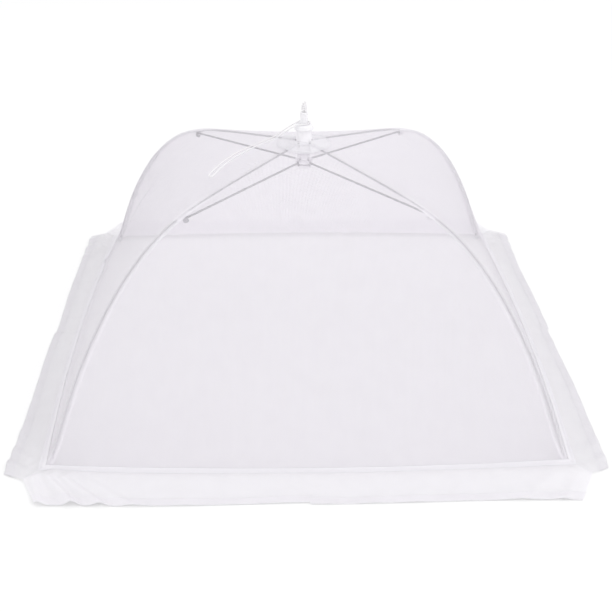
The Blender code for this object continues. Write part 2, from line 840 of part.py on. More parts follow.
def skirt_side(distance):
    """The same for a skirt, whose corner is cut back past the rib's tip."""
    corner = PANEL_LINE[-1].x + SKIRT_REACH_CORNER
    if distance <= corner:
        return rib_side(distance)
    return rib_side(corner) - (distance - corner) * SKIRT_CORNER_CUT_SHARE


def hem_bulge(share):
    """How far the hem lies out at this share of the way from its middle to the corner."""
    return HEM_BULGE * (1 - share * share)


def panel_sag(row_share, share, _, normal):
    """The cloth hangs in between the ribs, and its lowest part spreads on the table."""
    depth = PANEL_SAG * math.sin(math.pi * row_share) * (1 - share * share)
    low = max(0.0, (row_share - HEM_BULGE_START_SHARE) / (1 - HEM_BULGE_START_SHARE))
    return normal * -depth + Vector((hem_bulge(share) * low * low, 0, 0))


def skirt_ripple(row_share, share, to_corner, _):
    """Folds that stand up near the corner, where the skirt is gathered."""
    wave = (1 - math.cos(math.tau * to_corner / RIPPLE_WAVE)) / 2
    height = RIPPLE * math.exp(-to_corner / RIPPLE_SPREAD) * wave
    rise = height * min(1.0, row_share / RIPPLE_RISE_SHARE)
    return Vector((hem_bulge(share) * (1 - row_share), 0, rise))


def make_panel(label, side, carrier):
    shares = [k / (PANEL_COLUMNS - 1) for k in range(PANEL_COLUMNS)]
    mesh = cloth_mesh(f"mesh_{label}", PANEL_LINE, shares, side, rib_side, panel_sag)
    put(f"mesh_{label}", mesh, white_mesh(), carrier)


def skirt_line(reach):
    """From just below the panel's hem, flaring out to lie on the table."""
    hem = PANEL_LINE[-1]
    along = (PANEL_LINE[-1] - PANEL_LINE[-2]).normalized()
    start = hem + along * (GAP * 2)
    end = Vector((hem.x + reach, 0, CLOTH / 2))
    between = [
        Vector((start.x + (end.x - start.x) * out, 0, end.z + (start.z - end.z) * up))
        for out, up in SKIRT_FALL_SHARES
    ]
    line = smooth_curve((start, *between, end), SKIRT_ROWS)
    return [Vector((p.x, 0, max(p.z, end.z))) for p in line]


def make_skirt(label, side, reach, carrier):
    line = skirt_line(reach)
    hem_length = rib_side(line[0].x)
    plain = 1 - RIPPLE_ZONE / hem_length
    shares = [plain * k / PLAIN_COLUMNS for k in range(PLAIN_COLUMNS)]
    shares += [plain + (1 - plain) * k / RIPPLE_COLUMNS for k in range(RIPPLE_COLUMNS + 1)]
    mesh = cloth_mesh(f"skirt_{label}", line, shares, side, skirt_side, skirt_ripple)
    put(f"skirt_{label}", mesh, white_mesh(), carrier)


# Pull cord


def make_pull_cord():
    points = smooth_curve(CORD_OUT + CORD_BACK, CORD_STEPS)
    curve = bpy.data.curves.new("pull_cord", "CURVE")
    curve.dimensions = "3D"
    curve.bevel_depth = CORD_RADIUS
    curve.bevel_resolution = 2
    curve.use_fill_caps = True
    spline = curve.splines.new("POLY")
    spline.points.add(len(points) - 1)
    for target, point in zip(spline.points, points):
        target.co = (*point, 1)
    put("pull_cord", curve, white_cord())


# Build

clear_scene()
make_hub_tube()
make_hub_cap()
put("rib_ring", ring_mesh("rib_ring"), steel_wire(), empty("hub_pivot", (0, 0, RIB_PIVOT_Z)))
make_runner(empty("runner_pivot", (0, 0, RUNNER_PIVOT_Z)))
make_cord_through_hub()
make_crown_patch()
for corner_name, azimuth in CORNERS.items():
    turn = Matrix.Rotation(math.radians(azimuth), 3, "Z")
    rib_carrier = empty(f"rib_pivot_{corner_name}", turn @ RIB_PIVOT, azimuth)
    make_rib(corner_name, rib_carrier)
    make_clip(corner_name, rib_carrier)
    make_sleeve(corner_name, rib_carrier)
    make_foot(corner_name, rib_carrier)
    stretcher_carrier = empty(f"stretcher_pivot_{corner_name}", turn @ RUNNER_PIVOT, azimuth)
    make_stretcher(corner_name, stretcher_carrier)
for (panel_name, half_side), half_label in HALF_NAMES.items():
    panel_carrier = empty(f"panel_{half_label}", (0, 0, 0), PANELS[panel_name])
    skirt_reach = SKIRT_REACH_SIDE if panel_name in ("left", "right") else SKIRT_REACH_FRONT
    make_panel(half_label, half_side, panel_carrier)
    make_skirt(half_label, half_side, skirt_reach, panel_carrier)
make_pull_cord()
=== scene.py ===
"""Looks of the pop-up mesh food cover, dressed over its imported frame. Metres, +Z up."""
import math

import bmesh
import bpy
import numpy as np
from mathutils import Matrix, Vector


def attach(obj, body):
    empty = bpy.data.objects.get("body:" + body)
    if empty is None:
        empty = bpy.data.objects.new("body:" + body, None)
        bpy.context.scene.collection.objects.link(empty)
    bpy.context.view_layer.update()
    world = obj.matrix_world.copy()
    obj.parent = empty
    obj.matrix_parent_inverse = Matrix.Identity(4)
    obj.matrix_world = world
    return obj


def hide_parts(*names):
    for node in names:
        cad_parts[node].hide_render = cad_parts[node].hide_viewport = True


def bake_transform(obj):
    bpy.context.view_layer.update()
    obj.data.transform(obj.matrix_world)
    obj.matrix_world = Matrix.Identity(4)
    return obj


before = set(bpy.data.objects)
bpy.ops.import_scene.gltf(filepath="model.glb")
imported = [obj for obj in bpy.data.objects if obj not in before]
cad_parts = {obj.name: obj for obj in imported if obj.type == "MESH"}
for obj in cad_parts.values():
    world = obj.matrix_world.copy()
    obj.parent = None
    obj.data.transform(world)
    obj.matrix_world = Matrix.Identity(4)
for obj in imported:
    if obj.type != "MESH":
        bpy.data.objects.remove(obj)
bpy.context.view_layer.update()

# Camera: in front of the cover, a little to its left, looking down on it.
# Its place, turn and lens were fitted to the ribs, clips and knot of the photograph.
CAMERA_PLACE = Vector((-0.0213, -0.8966, 0.5392))
CAMERA_YAW = math.radians(1.542)
CAMERA_PITCH = math.radians(29.587)
CAMERA_ROLL = math.radians(0.331)
SENSOR_WIDTH, LENS = 36, 60.02
camera_data = bpy.data.cameras.new("camera")
camera_data.sensor_width = SENSOR_WIDTH
camera_data.lens = LENS
camera = bpy.data.objects.new("camera", camera_data)
bpy.context.scene.collection.objects.link(camera)
forward = Vector((
    math.sin(CAMERA_YAW) * math.cos(CAMERA_PITCH),
    math.cos(CAMERA_YAW) * math.cos(CAMERA_PITCH),
    -math.sin(CAMERA_PITCH),
))
level = Vector((math.cos(CAMERA_YAW), -math.sin(CAMERA_YAW), 0))
upright = level.cross(forward)
turn = (math.cos(CAMERA_ROLL), math.sin(CAMERA_ROLL))
camera_right = level * turn[0] + upright * turn[1]
camera_up = upright * turn[0] - level * turn[1]
camera.matrix_world = Matrix.Translation(CAMERA_PLACE) @ Matrix(
    (camera_right, camera_up, -forward)
).transposed().to_4x4()
bpy.context.scene.camera = camera
bpy.context.scene.view_settings.view_transform = "Standard"

# Pull cord: a loop of thin twisted white cotton cord, tied round the cap's spigot.
# It hangs limp over the cap's rim and lies in a long loop on the left panel.
CORD_RADIUS, CORD_STRANDS, CORD_TWIST, CORD_GROOVE = 0.0006, 3, 0.0030, 0.20
CORD_STEP, CORD_SIDES, CURVE_STEPS = 0.0004, 12, 24
CORD_OUT = (
    (0.0047, -0.0009, 0.2236), (0.0024, -0.005, 0.2236), (-0.0045, -0.0056, 0.223),
    (-0.0098, -0.0046, 0.221), (-0.0185, -0.0036, 0.2148), (-0.028, -0.0034, 0.2087),
    (-0.038, -0.0056, 0.2052), (-0.048, -0.012, 0.2033), (-0.06, -0.024, 0.2013),
    (-0.07, -0.038, 0.1992), (-0.0775, -0.052, 0.1973), (-0.0805, -0.06, 0.1965),
)
CORD_BACK = (
    (-0.0838, -0.0612, 0.1958), (-0.0846, -0.0565, 0.1958), (-0.08, -0.045, 0.1967),
    (-0.0725, -0.031, 0.1986), (-0.0615, -0.017, 0.2009), (-0.049, -0.006, 0.2031),
    (-0.038, 0.0000, 0.2054), (-0.0275, 0.0018, 0.2095), (-0.0185, 0.002, 0.2158),
    (-0.0104, 0.0014, 0.2212), (-0.006, 0.0022, 0.2232), (-0.0034, 0.0042, 0.2236),
    (0.0008, 0.0051, 0.2236), (0.0041, 0.0031, 0.2236), (0.0049, 0.0009, 0.2236),
)
TIE_PLACE = (0.0052, 0.0, 0.2236)
TIE_SIZE, TIE_RADIUS, TIE_SIDES, TIE_POINTS = 0.00042, 0.00052, 10, 90


def smooth_line(points, step):
    """Points about a step apart on the smooth curve through the given ones."""
    given = np.array(points, float)
    ends = np.vstack([2 * given[0] - given[1], given, 2 * given[-1] - given[-2]])
    t = np.linspace(0, 1, CURVE_STEPS, endpoint=False)[:, None]
    fine = []
    for a, b, c, d in zip(ends, ends[1:], ends[2:], ends[3:]):
        bend = (2 * a - 5 * b + 4 * c - d) * t**2 + (3 * b - a - 3 * c + d) * t**3
        fine.append((2 * b + (c - a) * t + bend) / 2)
    fine = np.vstack([*fine, given[-1:]])
    run = run_along(fine)
    at = np.linspace(0, run[-1], max(2, round(run[-1] / step)) + 1)
    return np.column_stack([np.interp(at, run, fine[:, k]) for k in range(3)])


def run_along(line):
    steps = np.linalg.norm(np.diff(line, axis=0), axis=1)
    return np.concatenate([[0.0], np.cumsum(steps)])


def unit(vectors):
    return vectors / np.linalg.norm(vectors, axis=-1, keepdims=True)


def mesh_piece(name, verts, faces, material, uv=None, smooth=True, **shades):
    """An object with the given mesh, its map and its named values per corner point."""
    mesh = bpy.data.meshes.new(name)
    mesh.from_pydata(np.asarray(verts, float).tolist(), [], [list(map(int, f)) for f in faces])
    mesh.polygons.foreach_set("use_smooth", [smooth] * len(mesh.polygons))
    if uv is not None:
        corners = np.zeros(len(mesh.loops), np.int32)
        mesh.loops.foreach_get("vertex_index", corners)
        layer = mesh.uv_layers.new(name="cloth")
        layer.data.foreach_set("uv", np.asarray(uv, np.float32)[corners].ravel())
    for shade, values in shades.items():
        attribute = mesh.attributes.new(shade, "FLOAT", "POINT")
        attribute.data.foreach_set("value", np.asarray(values, np.float32))
    mesh.materials.append(material)
    piece = bpy.data.objects.new(name, mesh)
    bpy.context.scene.collection.objects.link(piece)
    return piece


def swept(name, path, offsets, material, closed=False, **shades):
    """A tube along a path: offsets holds, for each point, a ring of across and up."""
    along = unit(np.gradient(path, axis=0))
    start = np.cross(along[0], (0, 0, 1.0))
    if np.linalg.norm(start) < 0.1:
        start = np.cross(along[0], (0, 1.0, 0))
    across = [unit(start)]
    for t in along[1:]:
        across.append(unit(across[-1] - t * across[-1].dot(t)))
    across = np.array(across)
    up = np.cross(along, across)
    rings = path[:, None] + offsets[..., :1] * across[:, None] + offsets[..., 1:] * up[:, None]
    count, sides = rings.shape[:2]
    faces = []
    for i in range(count if closed else count - 1):
        j = (i + 1) % count
        for k in range(sides):
            n = (k + 1) % sides
            faces.append((i * sides + k, i * sides + n, j * sides + n, j * sides + k))
    if not closed:
        faces.append(tuple(range(sides))[::-1])
        faces.append(tuple(range((count - 1) * sides, count * sides)))
    return mesh_piece(name, rings.reshape(-1, 3), faces, material, **shades)


def twisted(name, path, radius, twist=CORD_TWIST, sides=CORD_SIDES, closed=False):
    """A cotton rope along a path; its crest value says where a point stands on its strand."""
    run = run_along(path)[:, None]
    angle = np.linspace(0, math.tau, sides, endpoint=False)[None]
    crest = np.abs(np.cos(CORD_STRANDS / 2 * (angle - run / twist * math.tau)))
    reach = radius * (1 - CORD_GROOVE + CORD_GROOVE * crest)
    rings = np.stack([reach * np.cos(angle), reach * np.sin(angle)], axis=-1)
    return swept(name, path, rings, CORD_COTTON, closed, crest=crest.ravel())


def tree_node(tree, kind, inputs=(), **settings):
    """A new node whose sockets take the given values, or links from the given outputs."""
    made = tree.nodes.new(kind)
    for key, value in settings.items():
        setattr(made, key, value)
    for key, value in dict(inputs).items():
        if isinstance(value, bpy.types.NodeSocket):
            tree.links.new(value, made.inputs[key])
        else:
            made.inputs[key].default_value = value
    return made


class Finish:
    """A material whose nodes are added by name and linked as they are made."""

    def __init__(self, name, colour, roughness, **fixed):
        self.material = bpy.data.materials.new(name)
        self.material.use_nodes = True
        self.tree = self.material.node_tree
        self.shader = self.tree.nodes["Principled BSDF"]
        self.shader.inputs["Base Color"].default_value = (*colour, 1)
        self.shader.inputs["Roughness"].default_value = roughness
        for socket, value in fixed.items():
            self.shader.inputs[socket.replace("_", " ")].default_value = value

    def node(self, kind, inputs=(), **settings):
        return tree_node(self.tree, kind, inputs, **settings)

    def math(self, operation, *values):
        return self.node("ShaderNodeMath", enumerate(values), operation=operation).outputs[0]

    def noise(self, scale, detail):
        place = self.node("ShaderNodeTexCoord").outputs["Object"]
        inputs = {"Vector": place, "Scale": scale, "Detail": detail}
        return self.node("ShaderNodeTexNoise", inputs).outputs["Fac"]

    def shade(self, name):
        return self.node("ShaderNodeAttribute", attribute_name=name).outputs["Fac"]

    def between(self, value, low, high, low_colour, high_colour):
        """Colour that runs from one to the other as value goes from low to high."""
        ramp = self.node("ShaderNodeMapRange", {"Value": value, "From Min": low, "From Max": high})
        inputs = {0: ramp.outputs[0], 6: (*low_colour, 1), 7: (*high_colour, 1)}
        return self.node("ShaderNodeMix", inputs, data_type="RGBA").outputs[2]

    def cloth_map(self):
        """Place across and down the flat cloth."""
        uv = self.node("ShaderNodeUVMap", uv_map="cloth").outputs[0]
        return self.node("ShaderNodeSeparateXYZ", {0: uv}).outputs[:2]

    def dusky(self, tint, amount):
        """The tint with painted shade: darker by this amount for each unit of the cloth's painted shade
        value.
        """
        kept = self.math("MULTIPLY_ADD", self.shade("dusk"), -amount, 1.0)
        return self.node("ShaderNodeVectorMath", {0: tint, "Scale": kept}, operation="SCALE").outputs[0]

    def colour(self, socket):
        self.tree.links.new(socket, self.shader.inputs["Base Color"])

    def rough(self, value, low, high):
        ramp = self.node("ShaderNodeMapRange", {"Value": value, "To Min": low, "To Max": high})
        self.tree.links.new(ramp.outputs[0], self.shader.inputs["Roughness"])

    def bump(self, height, distance, strength):
        inputs = {"Height": height, "Distance": distance, "Strength": strength}
        made = self.node("ShaderNodeBump", inputs)
        self.tree.links.new(made.outputs[0], self.shader.inputs["Normal"])


def cord_finish(name):
    """Matt white cotton with fine fibre, with painted shade in the grooves between strands."""
    cord = Finish(name, (0.80, 0.80, 0.82), 0.85, Sheen_Weight=0.25)
    # Painted shade: darker in the grooves between strands, by each point's crest value.
    groove_painted_shade = cord.between(cord.shade("crest"), 0.0, 0.6, (0.80, 0.79, 0.81), (0.87, 0.86, 0.875))
    cord.colour(groove_painted_shade)
    cord.bump(cord.noise(5200, 2), 0.00008, 0.5)
    return cord.material


CORD_COTTON = cord_finish("cord_cotton")
cord_path = smooth_line(CORD_OUT + CORD_BACK, CORD_STEP)
pull_cord = twisted("pull_cord_twist", cord_path, CORD_RADIUS)
tie_turn = np.linspace(0, math.tau, TIE_POINTS, endpoint=False)
tie_path = np.column_stack([
    -np.sin(3 * tie_turn) * TIE_SIZE,
    (np.sin(tie_turn) + 2 * np.sin(2 * tie_turn)) * TIE_SIZE,
    (np.cos(tie_turn) - 2 * np.cos(2 * tie_turn)) * TIE_SIZE,
]) + np.array(TIE_PLACE)
cord_tie = twisted("pull_cord_tie", tie_path, TIE_RADIUS, sides=TIE_SIDES, closed=True)
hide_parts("pull_cord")
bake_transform(pull_cord)
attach(cord_tie, "hub")

# Hub: a short white moulded tube with four slots for the ribs' eyes, and a domed cap
# pressed on top whose spigot the lift cord comes out of. Satin polypropylene.
HUB_SIDES = 72
TUBE_RADIUS, TUBE_BORE = 0.0072, 0.0046
TUBE_BOTTOM, TUBE_TOP = 0.1960, 0.2172
RIB_SLOT = (0.1990, 0.2061)
RIB_SLOT_HALF = 0.0011
CAP_RADIUS, CAP_BOTTOM, CAP_RIM, CAP_DOME = 0.0090, 0.2175, 0.0018, 0.0032
SPIGOT_RADIUS, SPIGOT_TOP = 0.00345, 0.2335
HINGE_RADIUS, HINGE_Z, HINGE_GROOVE = 0.0060, 0.2034, 0.0007
CORD_HOLE = 0.0010
DOME_STEPS, DOME_INSET, DOME_CURVE, DOME_SHARE = 14, 0.0006, 0.6, 0.94
MOULD_ROUND, RIM_ROUND, SPIGOT_ROUND, ROUND_STEPS = 0.0004, 0.0005, 0.0007, 4
RIM_LEAD, SPIGOT_LEAD, DOME_LIFT, DOME_FOOT = 0.002, 0.003, 0.0001, 0.0004
CUT_PAST, EDGE_BREAK = 0.002, 0.00018
BREAK_ANGLE, SHARP_ANGLE, CAP_SHARP_ANGLE = math.radians(50), math.radians(38), math.radians(50)
CORNERS = {"back_right": 45, "back_left": 135, "front_left": 225, "front_right": 315}


def rounded(profile, radius):
    """A profile of radius and height whose corners are rounded."""
    points = [Vector(p) for p in profile]
    made = []
    for i, corner in enumerate(points):
        before, after = points[i - 1], points[(i + 1) % len(points)]
        reach = min(radius, (before - corner).length * 0.45, (after - corner).length * 0.45)
        a = corner + (before - corner).normalized() * reach
        b = corner + (after - corner).normalized() * reach
        for k in range(ROUND_STEPS + 1):
            s = k / ROUND_STEPS
            made.append(a * (1 - s) ** 2 + corner * 2 * s * (1 - s) + b * s**2)
    return made


def rounded_edge(profile, radius):
    """The rounded corners between the profile's first and last point alone."""
    return rounded(profile, radius)[ROUND_STEPS + 1:-ROUND_STEPS - 1]


def grooved(radius, height):
    """Profile points of the groove that a wire ring lies in, at a height on the hub's axis."""
    base, low, high = HINGE_RADIUS - HINGE_GROOVE, height - HINGE_GROOVE, height + HINGE_GROOVE
    return (radius, low), (base, low), (base, high), (radius, high)


def turned(name, profile, material):
    """A ring-shaped profile turned about the hub's axis."""
    count = len(profile)
    verts, faces = [], []
    for i in range(HUB_SIDES):
        angle = math.tau * i / HUB_SIDES
        verts += [(p[0] * math.cos(angle), p[0] * math.sin(angle), p[1]) for p in profile]
        j = (i + 1) % HUB_SIDES
        for k in range(count):
            n = (k + 1) % count
            faces.append((i * count + k, j * count + k, j * count + n, i * count + n))
    return outward(mesh_piece(name, verts, faces, material))


def outward(piece):
    bm = bmesh.new()
    bm.from_mesh(piece.data)
    bmesh.ops.remove_doubles(bm, verts=bm.verts, dist=1e-6)
    bmesh.ops.recalc_face_normals(bm, faces=bm.faces)
    bm.to_mesh(piece.data)
    bm.free()
    return piece


def plain_mesh(piece):
    """Keep what the modifiers make of the piece as its own mesh."""
    shaped = piece.evaluated_get(bpy.context.evaluated_depsgraph_get())
    mesh = bpy.data.meshes.new_from_object(shaped)
    piece.modifiers.clear()
    piece.data = mesh
    return piece


def slotted(piece, inner, outer, half, low, high):
    """Cut four upright slots at the ribs' angles, and break all sharp edges."""
    for angle in CORNERS.values():
        q = math.radians(angle)
        out, side = Vector((math.cos(q), math.sin(q), 0)), Vector((-math.sin(q), math.cos(q), 0))
        verts = [
            out * r + side * half * s + Vector((0, 0, z))
            for r in (inner, outer) for s in (-1, 1) for z in (low, high)
        ]
        faces = ((0, 1, 3, 2), (4, 6, 7, 5), (0, 4, 5, 1), (2, 3, 7, 6), (0, 2, 6, 4), (1, 5, 7, 3))
        tool = outward(mesh_piece(f"slot_{angle}", verts, faces, piece.data.materials[0]))
        cut = piece.modifiers.new("slot", "BOOLEAN")
        cut.operation, cut.solver, cut.object = "DIFFERENCE", "EXACT", tool
        plain_mesh(piece)
        bpy.data.objects.remove(tool)
    edge = piece.modifiers.new("edge", "BEVEL")
    edge.width, edge.segments, edge.limit_method = EDGE_BREAK, 2, "ANGLE"
    edge.angle_limit = BREAK_ANGLE
    plain_mesh(piece)
    piece.data.set_sharp_from_angle(angle=SHARP_ANGLE)


def plastic_finish(name, colour, mottle, roughness):
    """White moulded plastic: faint mottle, fine grain and soft gloss."""
    plastic = Finish(name, colour, roughness, IOR=1.49, Subsurface_Weight=0.05,
                     Subsurface_Radius=(0.002, 0.002, 0.002), Subsurface_Scale=0.5)
    cloudy = plastic.noise(420, 4)
    plastic.colour(plastic.between(cloudy, 0.35, 0.65, mottle, colour))
    plastic.rough(plastic.noise(1600, 3), roughness - 0.08, roughness + 0.10)
    plastic.bump(plastic.noise(2600, 3), 0.00004, 0.5)
    return plastic.material


HUB_PLASTIC = plastic_finish("hub_plastic", (0.94, 0.925, 0.955), (0.91, 0.895, 0.925), 0.38)
tube_profile = [
    (TUBE_BORE, TUBE_BOTTOM), (TUBE_RADIUS, TUBE_BOTTOM), *grooved(TUBE_RADIUS, HINGE_Z),
    (TUBE_RADIUS, TUBE_TOP), (TUBE_BORE, TUBE_TOP),
]
hub_tube = turned("hub_tube_moulding", rounded(tube_profile, MOULD_ROUND), HUB_PLASTIC)
slotted(hub_tube, 0, TUBE_RADIUS + CUT_PAST, RIB_SLOT_HALF, *RIB_SLOT)
rim_top = CAP_BOTTOM + CAP_RIM
cap_profile = [Vector((CORD_HOLE, CAP_BOTTOM))]
cap_profile += rounded_edge([
    (CAP_RADIUS - RIM_LEAD, CAP_BOTTOM), (CAP_RADIUS, CAP_BOTTOM),
    (CAP_RADIUS, rim_top), (CAP_RADIUS - RIM_LEAD, rim_top)], RIM_ROUND)
for k in range(DOME_STEPS + 1):
    angle = math.pi / 2 * k / DOME_STEPS
    cap_profile.append(Vector((
        SPIGOT_RADIUS + (CAP_RADIUS - DOME_INSET - SPIGOT_RADIUS) * math.cos(angle) ** DOME_CURVE,
        rim_top + DOME_LIFT + CAP_DOME * DOME_SHARE * math.sin(angle),
    )))
cap_profile.append(Vector((SPIGOT_RADIUS, rim_top + CAP_DOME + DOME_FOOT)))
cap_profile += rounded_edge([
    (SPIGOT_RADIUS, SPIGOT_TOP - SPIGOT_LEAD), (SPIGOT_RADIUS, SPIGOT_TOP),
    (CORD_HOLE, SPIGOT_TOP), (CORD_HOLE, SPIGOT_TOP - SPIGOT_LEAD)], SPIGOT_ROUND)
CAP_PLASTIC = plastic_finish("cap_plastic", (0.89, 0.88, 0.905), (0.85, 0.84, 0.865), 0.42)
hub_cap = turned("hub_cap_moulding", cap_profile, CAP_PLASTIC)
hub_cap.data.set_sharp_from_angle(angle=CAP_SHARP_ANGLE)
for piece, node in ((hub_tube, "hub_tube"), (hub_cap, "hub_cap")):
    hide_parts(node)
    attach(piece, "hub")

# Runner: a white moulded slider with a plug up the tube's bore, a neck and a wider
# flange with four slots that the stretchers' eyes turn in on a wire ring.
RUNNER_BOTTOM, RUNNER_PIVOT_Z, RUNNER_SHOULDER = 0.1810, 0.1846, 0.1880
RUNNER_RADIUS, RUNNER_CORE, NECK_RADIUS, NECK_TOP = 0.0082, 0.0032, 0.0057, 0.1957
PLUG_RADIUS, PLUG_TOP, PLUG_HOLE = 0.0042, 0.2004, 0.0004
RUNNER_SLOT, RUNNER_SLOT_HALF = (RUNNER_BOTTOM - 0.001, RUNNER_SHOULDER + 0.003), 0.0012
runner_profile = [
    (PLUG_HOLE, RUNNER_BOTTOM), (RUNNER_RADIUS, RUNNER_BOTTOM), *grooved(RUNNER_RADIUS, RUNNER_PIVOT_Z),
    (RUNNER_RADIUS, RUNNER_SHOULDER), (NECK_RADIUS, RUNNER_SHOULDER),
    (NECK_RADIUS, NECK_TOP), (PLUG_RADIUS, NECK_TOP), (PLUG_RADIUS, PLUG_TOP), (PLUG_HOLE, PLUG_TOP),
]
runner = turned("runner_moulding", rounded(runner_profile, MOULD_ROUND), HUB_PLASTIC)
slotted(runner, RUNNER_CORE, RUNNER_RADIUS + CUT_PAST, RUNNER_SLOT_HALF, *RUNNER_SLOT)
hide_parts("runner")
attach(runner, "runner")

# Lift cord: the thicker white cord that pulls the runner up. It runs from the runner's
# plug through the tube and spigot and ends above it in a knot that can't slip back.
LIFT_RADIUS, LIFT_TWIST, LIFT_STEP, LIFT_MIDDLE = 0.0007, 0.0034, 0.0006, 0.215
KNOT_RADIUS, KNOT_POINTS, KNOT_TURNS, KNOT_START = LIFT_RADIUS * 1.35, 300, 3.6, 1.2
KNOT_FULL, KNOT_TAPER = 1.12, 0.45
KNOT_BOTTOM, KNOT_REACH, KNOT_FIRST, KNOT_RISE, KNOT_LEAN = 0.2338, 0.00185, 0.0012, 0.0062, 0.0004
STEM_BENDS, STEM_STEP = ((0.0002, 0.0001, 0.2365), (0.0004, 0, 0.2402), (0.0011, 0.0001, 0.2430)), 0.0005
lift_path = smooth_line(
    [(0, 0, PLUG_TOP + 0.0004), (0, 0, LIFT_MIDDLE), (0, 0, SPIGOT_TOP - 0.0001)], LIFT_STEP)
lift_cord = twisted("lift_cord_twist", lift_path, LIFT_RADIUS, LIFT_TWIST)
share = np.linspace(0, 1, KNOT_POINTS)
wound = math.tau * KNOT_TURNS * share - KNOT_START
coil = KNOT_REACH * np.clip(KNOT_FULL - KNOT_TAPER * share**3, 0, 1)
knot_path = np.column_stack([
    coil * np.cos(wound) + KNOT_LEAN * share**2,
    coil * np.sin(wound),
    KNOT_BOTTOM + KNOT_FIRST + KNOT_RISE * share,
])
cord_knot = twisted("lift_cord_knot", knot_path, KNOT_RADIUS, LIFT_TWIST)
stem_path = smooth_line([(0, 0, KNOT_BOTTOM + 0.0001), *STEM_BENDS], STEM_STEP)
knot_stem = twisted("lift_cord_stem", stem_path, KNOT_RADIUS, LIFT_TWIST)
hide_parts("lift_cord")
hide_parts("cord_knot")
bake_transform(lift_cord)
for piece in (cord_knot, knot_stem):
    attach(piece, "hub")

# Ribs: four sprung steel wires, each bent into an eye round the wire ring in the tube.
# They bow out and down to the corners and give the cover its dome.
RIB_WIRE, RIB_EYE, WIRE_SIDES = 0.0008, 0.0015, 14
RIB_REACH, RIB_TIP_Z, RIB_STEP = 0.3040, 0.0022, 0.0024
RIB_SHARES = (
    (0, 1), (0.1862, 0.9551), (0.3423, 0.9161), (0.4742, 0.8707), (0.6003, 0.7879),
    (0.7168, 0.6537), (0.8144, 0.4874), (0.8946, 0.3098), (0.9711, 0.0893), (1, 0),
)
EYE_TURN, EYE_POINTS = math.radians(250), 26


def wire_finish(name):
    """Drawn steel wire: grey and satin, faintly mottled."""
    wire = Finish(name, (0.15, 0.15, 0.16), 0.42, Metallic=0.85)
    spots = wire.noise(900, 4)
    wire.colour(wire.between(spots, 0.35, 0.7, (0.11, 0.11, 0.12), (0.21, 0.21, 0.225)))
    wire.rough(wire.noise(2400, 2), 0.32, 0.5)
    wire.bump(wire.noise(4000, 2), 0.00003, 0.4)
    return wire.material


def steel_wire(name, path, radius):
    angle = np.linspace(0, math.tau, WIRE_SIDES, endpoint=False)
    ring = np.column_stack([np.cos(angle), np.sin(angle)]) * radius
    return swept(name, path, np.repeat(ring[None], len(path), axis=0), WIRE_STEEL)


def eye_points(centre, radius, start, turn):
    """The wire's middle line round an eye, in the XZ plane."""
    angle = start + turn * np.arange(1, EYE_POINTS + 1) / EYE_POINTS
    ring = np.column_stack([np.cos(angle), np.zeros(EYE_POINTS), np.sin(angle)])
    return np.array(centre, float) + ring * radius


def recoat(node, material):
    """Give a CAD node that stays in view the given finish."""
    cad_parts[node].data.materials.clear()
    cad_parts[node].data.materials.append(material)


def about_hub(points, degrees):
    """Points drawn in the XZ plane, turned to the given angle round the hub."""
    q = math.radians(degrees)
    spin = np.array([[math.cos(q), -math.sin(q), 0], [math.sin(q), math.cos(q), 0], [0, 0, 1]])
    return np.asarray(points, float) @ spin.T


WIRE_STEEL = wire_finish("wire_steel")
rib_top = HINGE_Z + RIB_EYE
rib_points = [
    (HINGE_RADIUS + (RIB_REACH - HINGE_RADIUS) * out, 0, RIB_TIP_Z + (rib_top - RIB_TIP_Z) * up)
    for out, up in RIB_SHARES
]
RIB_LINE = smooth_line(rib_points, RIB_STEP)
rib_eye = eye_points((HINGE_RADIUS, 0, HINGE_Z), RIB_EYE, math.pi / 2, EYE_TURN)
rib_path = np.vstack([rib_eye[::-1], RIB_LINE])
for corner, angle in CORNERS.items():
    rib = steel_wire(f"rib_wire_{corner}", about_hub(rib_path, angle), RIB_WIRE)
    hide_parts(f"rib_{corner}")
    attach(rib, f"rib_{corner}")
recoat("rib_ring", WIRE_STEEL)
recoat("stretcher_ring", WIRE_STEEL)

# Clips and feet: white moulded sleeves pushed on the ribs, one with a lug below it for
# the stretcher's rivet, and one that closes the rib's cut end and rests on the table.
CLIP_PLASTIC = plastic_finish("clip_plastic", (0.84, 0.83, 0.86), (0.79, 0.78, 0.81), 0.42)
RIVET_STEEL = wire_finish("rivet_steel")
for corner in CORNERS:
    recoat(f"rib_clip_{corner}", CLIP_PLASTIC)
    recoat(f"rib_foot_{corner}", CLIP_PLASTIC)
    recoat(f"rivet_{corner}", RIVET_STEEL)

# Stretchers: four straight steel wires with an eye at each end, from the runner's ring
# to the clips. They push the ribs out when the runner is pulled up.
STRETCHER_WIRE, STRETCHER_EYE, CLIP_EYE = 0.0009, 0.0016, 0.00185
STRETCHER_SHIFT, STRETCHER_POINTS = 0.0028, 40
CLIP_SHARE, CLIP_DROP = 0.3745, 0.0037
rib_run = run_along(RIB_LINE)
clip_at = np.searchsorted(rib_run, rib_run[-1] * CLIP_SHARE)
clip_step = RIB_LINE[clip_at] - RIB_LINE[clip_at - 1]
clip_along = unit(clip_step)
clip_share = (rib_run[-1] * CLIP_SHARE - rib_run[clip_at - 1]) / (rib_run[clip_at] - rib_run[clip_at - 1])
clip_centre = RIB_LINE[clip_at - 1] + clip_step * clip_share
clip_point = clip_centre + np.array((clip_along[2], 0, -clip_along[0])) * CLIP_DROP
runner_pivot = np.array((HINGE_RADIUS, 0, RUNNER_PIVOT_Z))
lean_along = unit(clip_point - runner_pivot)
lean_up = np.array((-lean_along[2], 0, lean_along[0]))
lean = math.atan2(lean_up[2], lean_up[0])
sideways = np.array((0, STRETCHER_SHIFT, 0))
inner_eye = eye_points(runner_pivot, STRETCHER_EYE, lean, EYE_TURN)
outer_eye = eye_points(clip_point, CLIP_EYE, lean, -EYE_TURN) + sideways
stretcher_start = runner_pivot + lean_up * STRETCHER_EYE
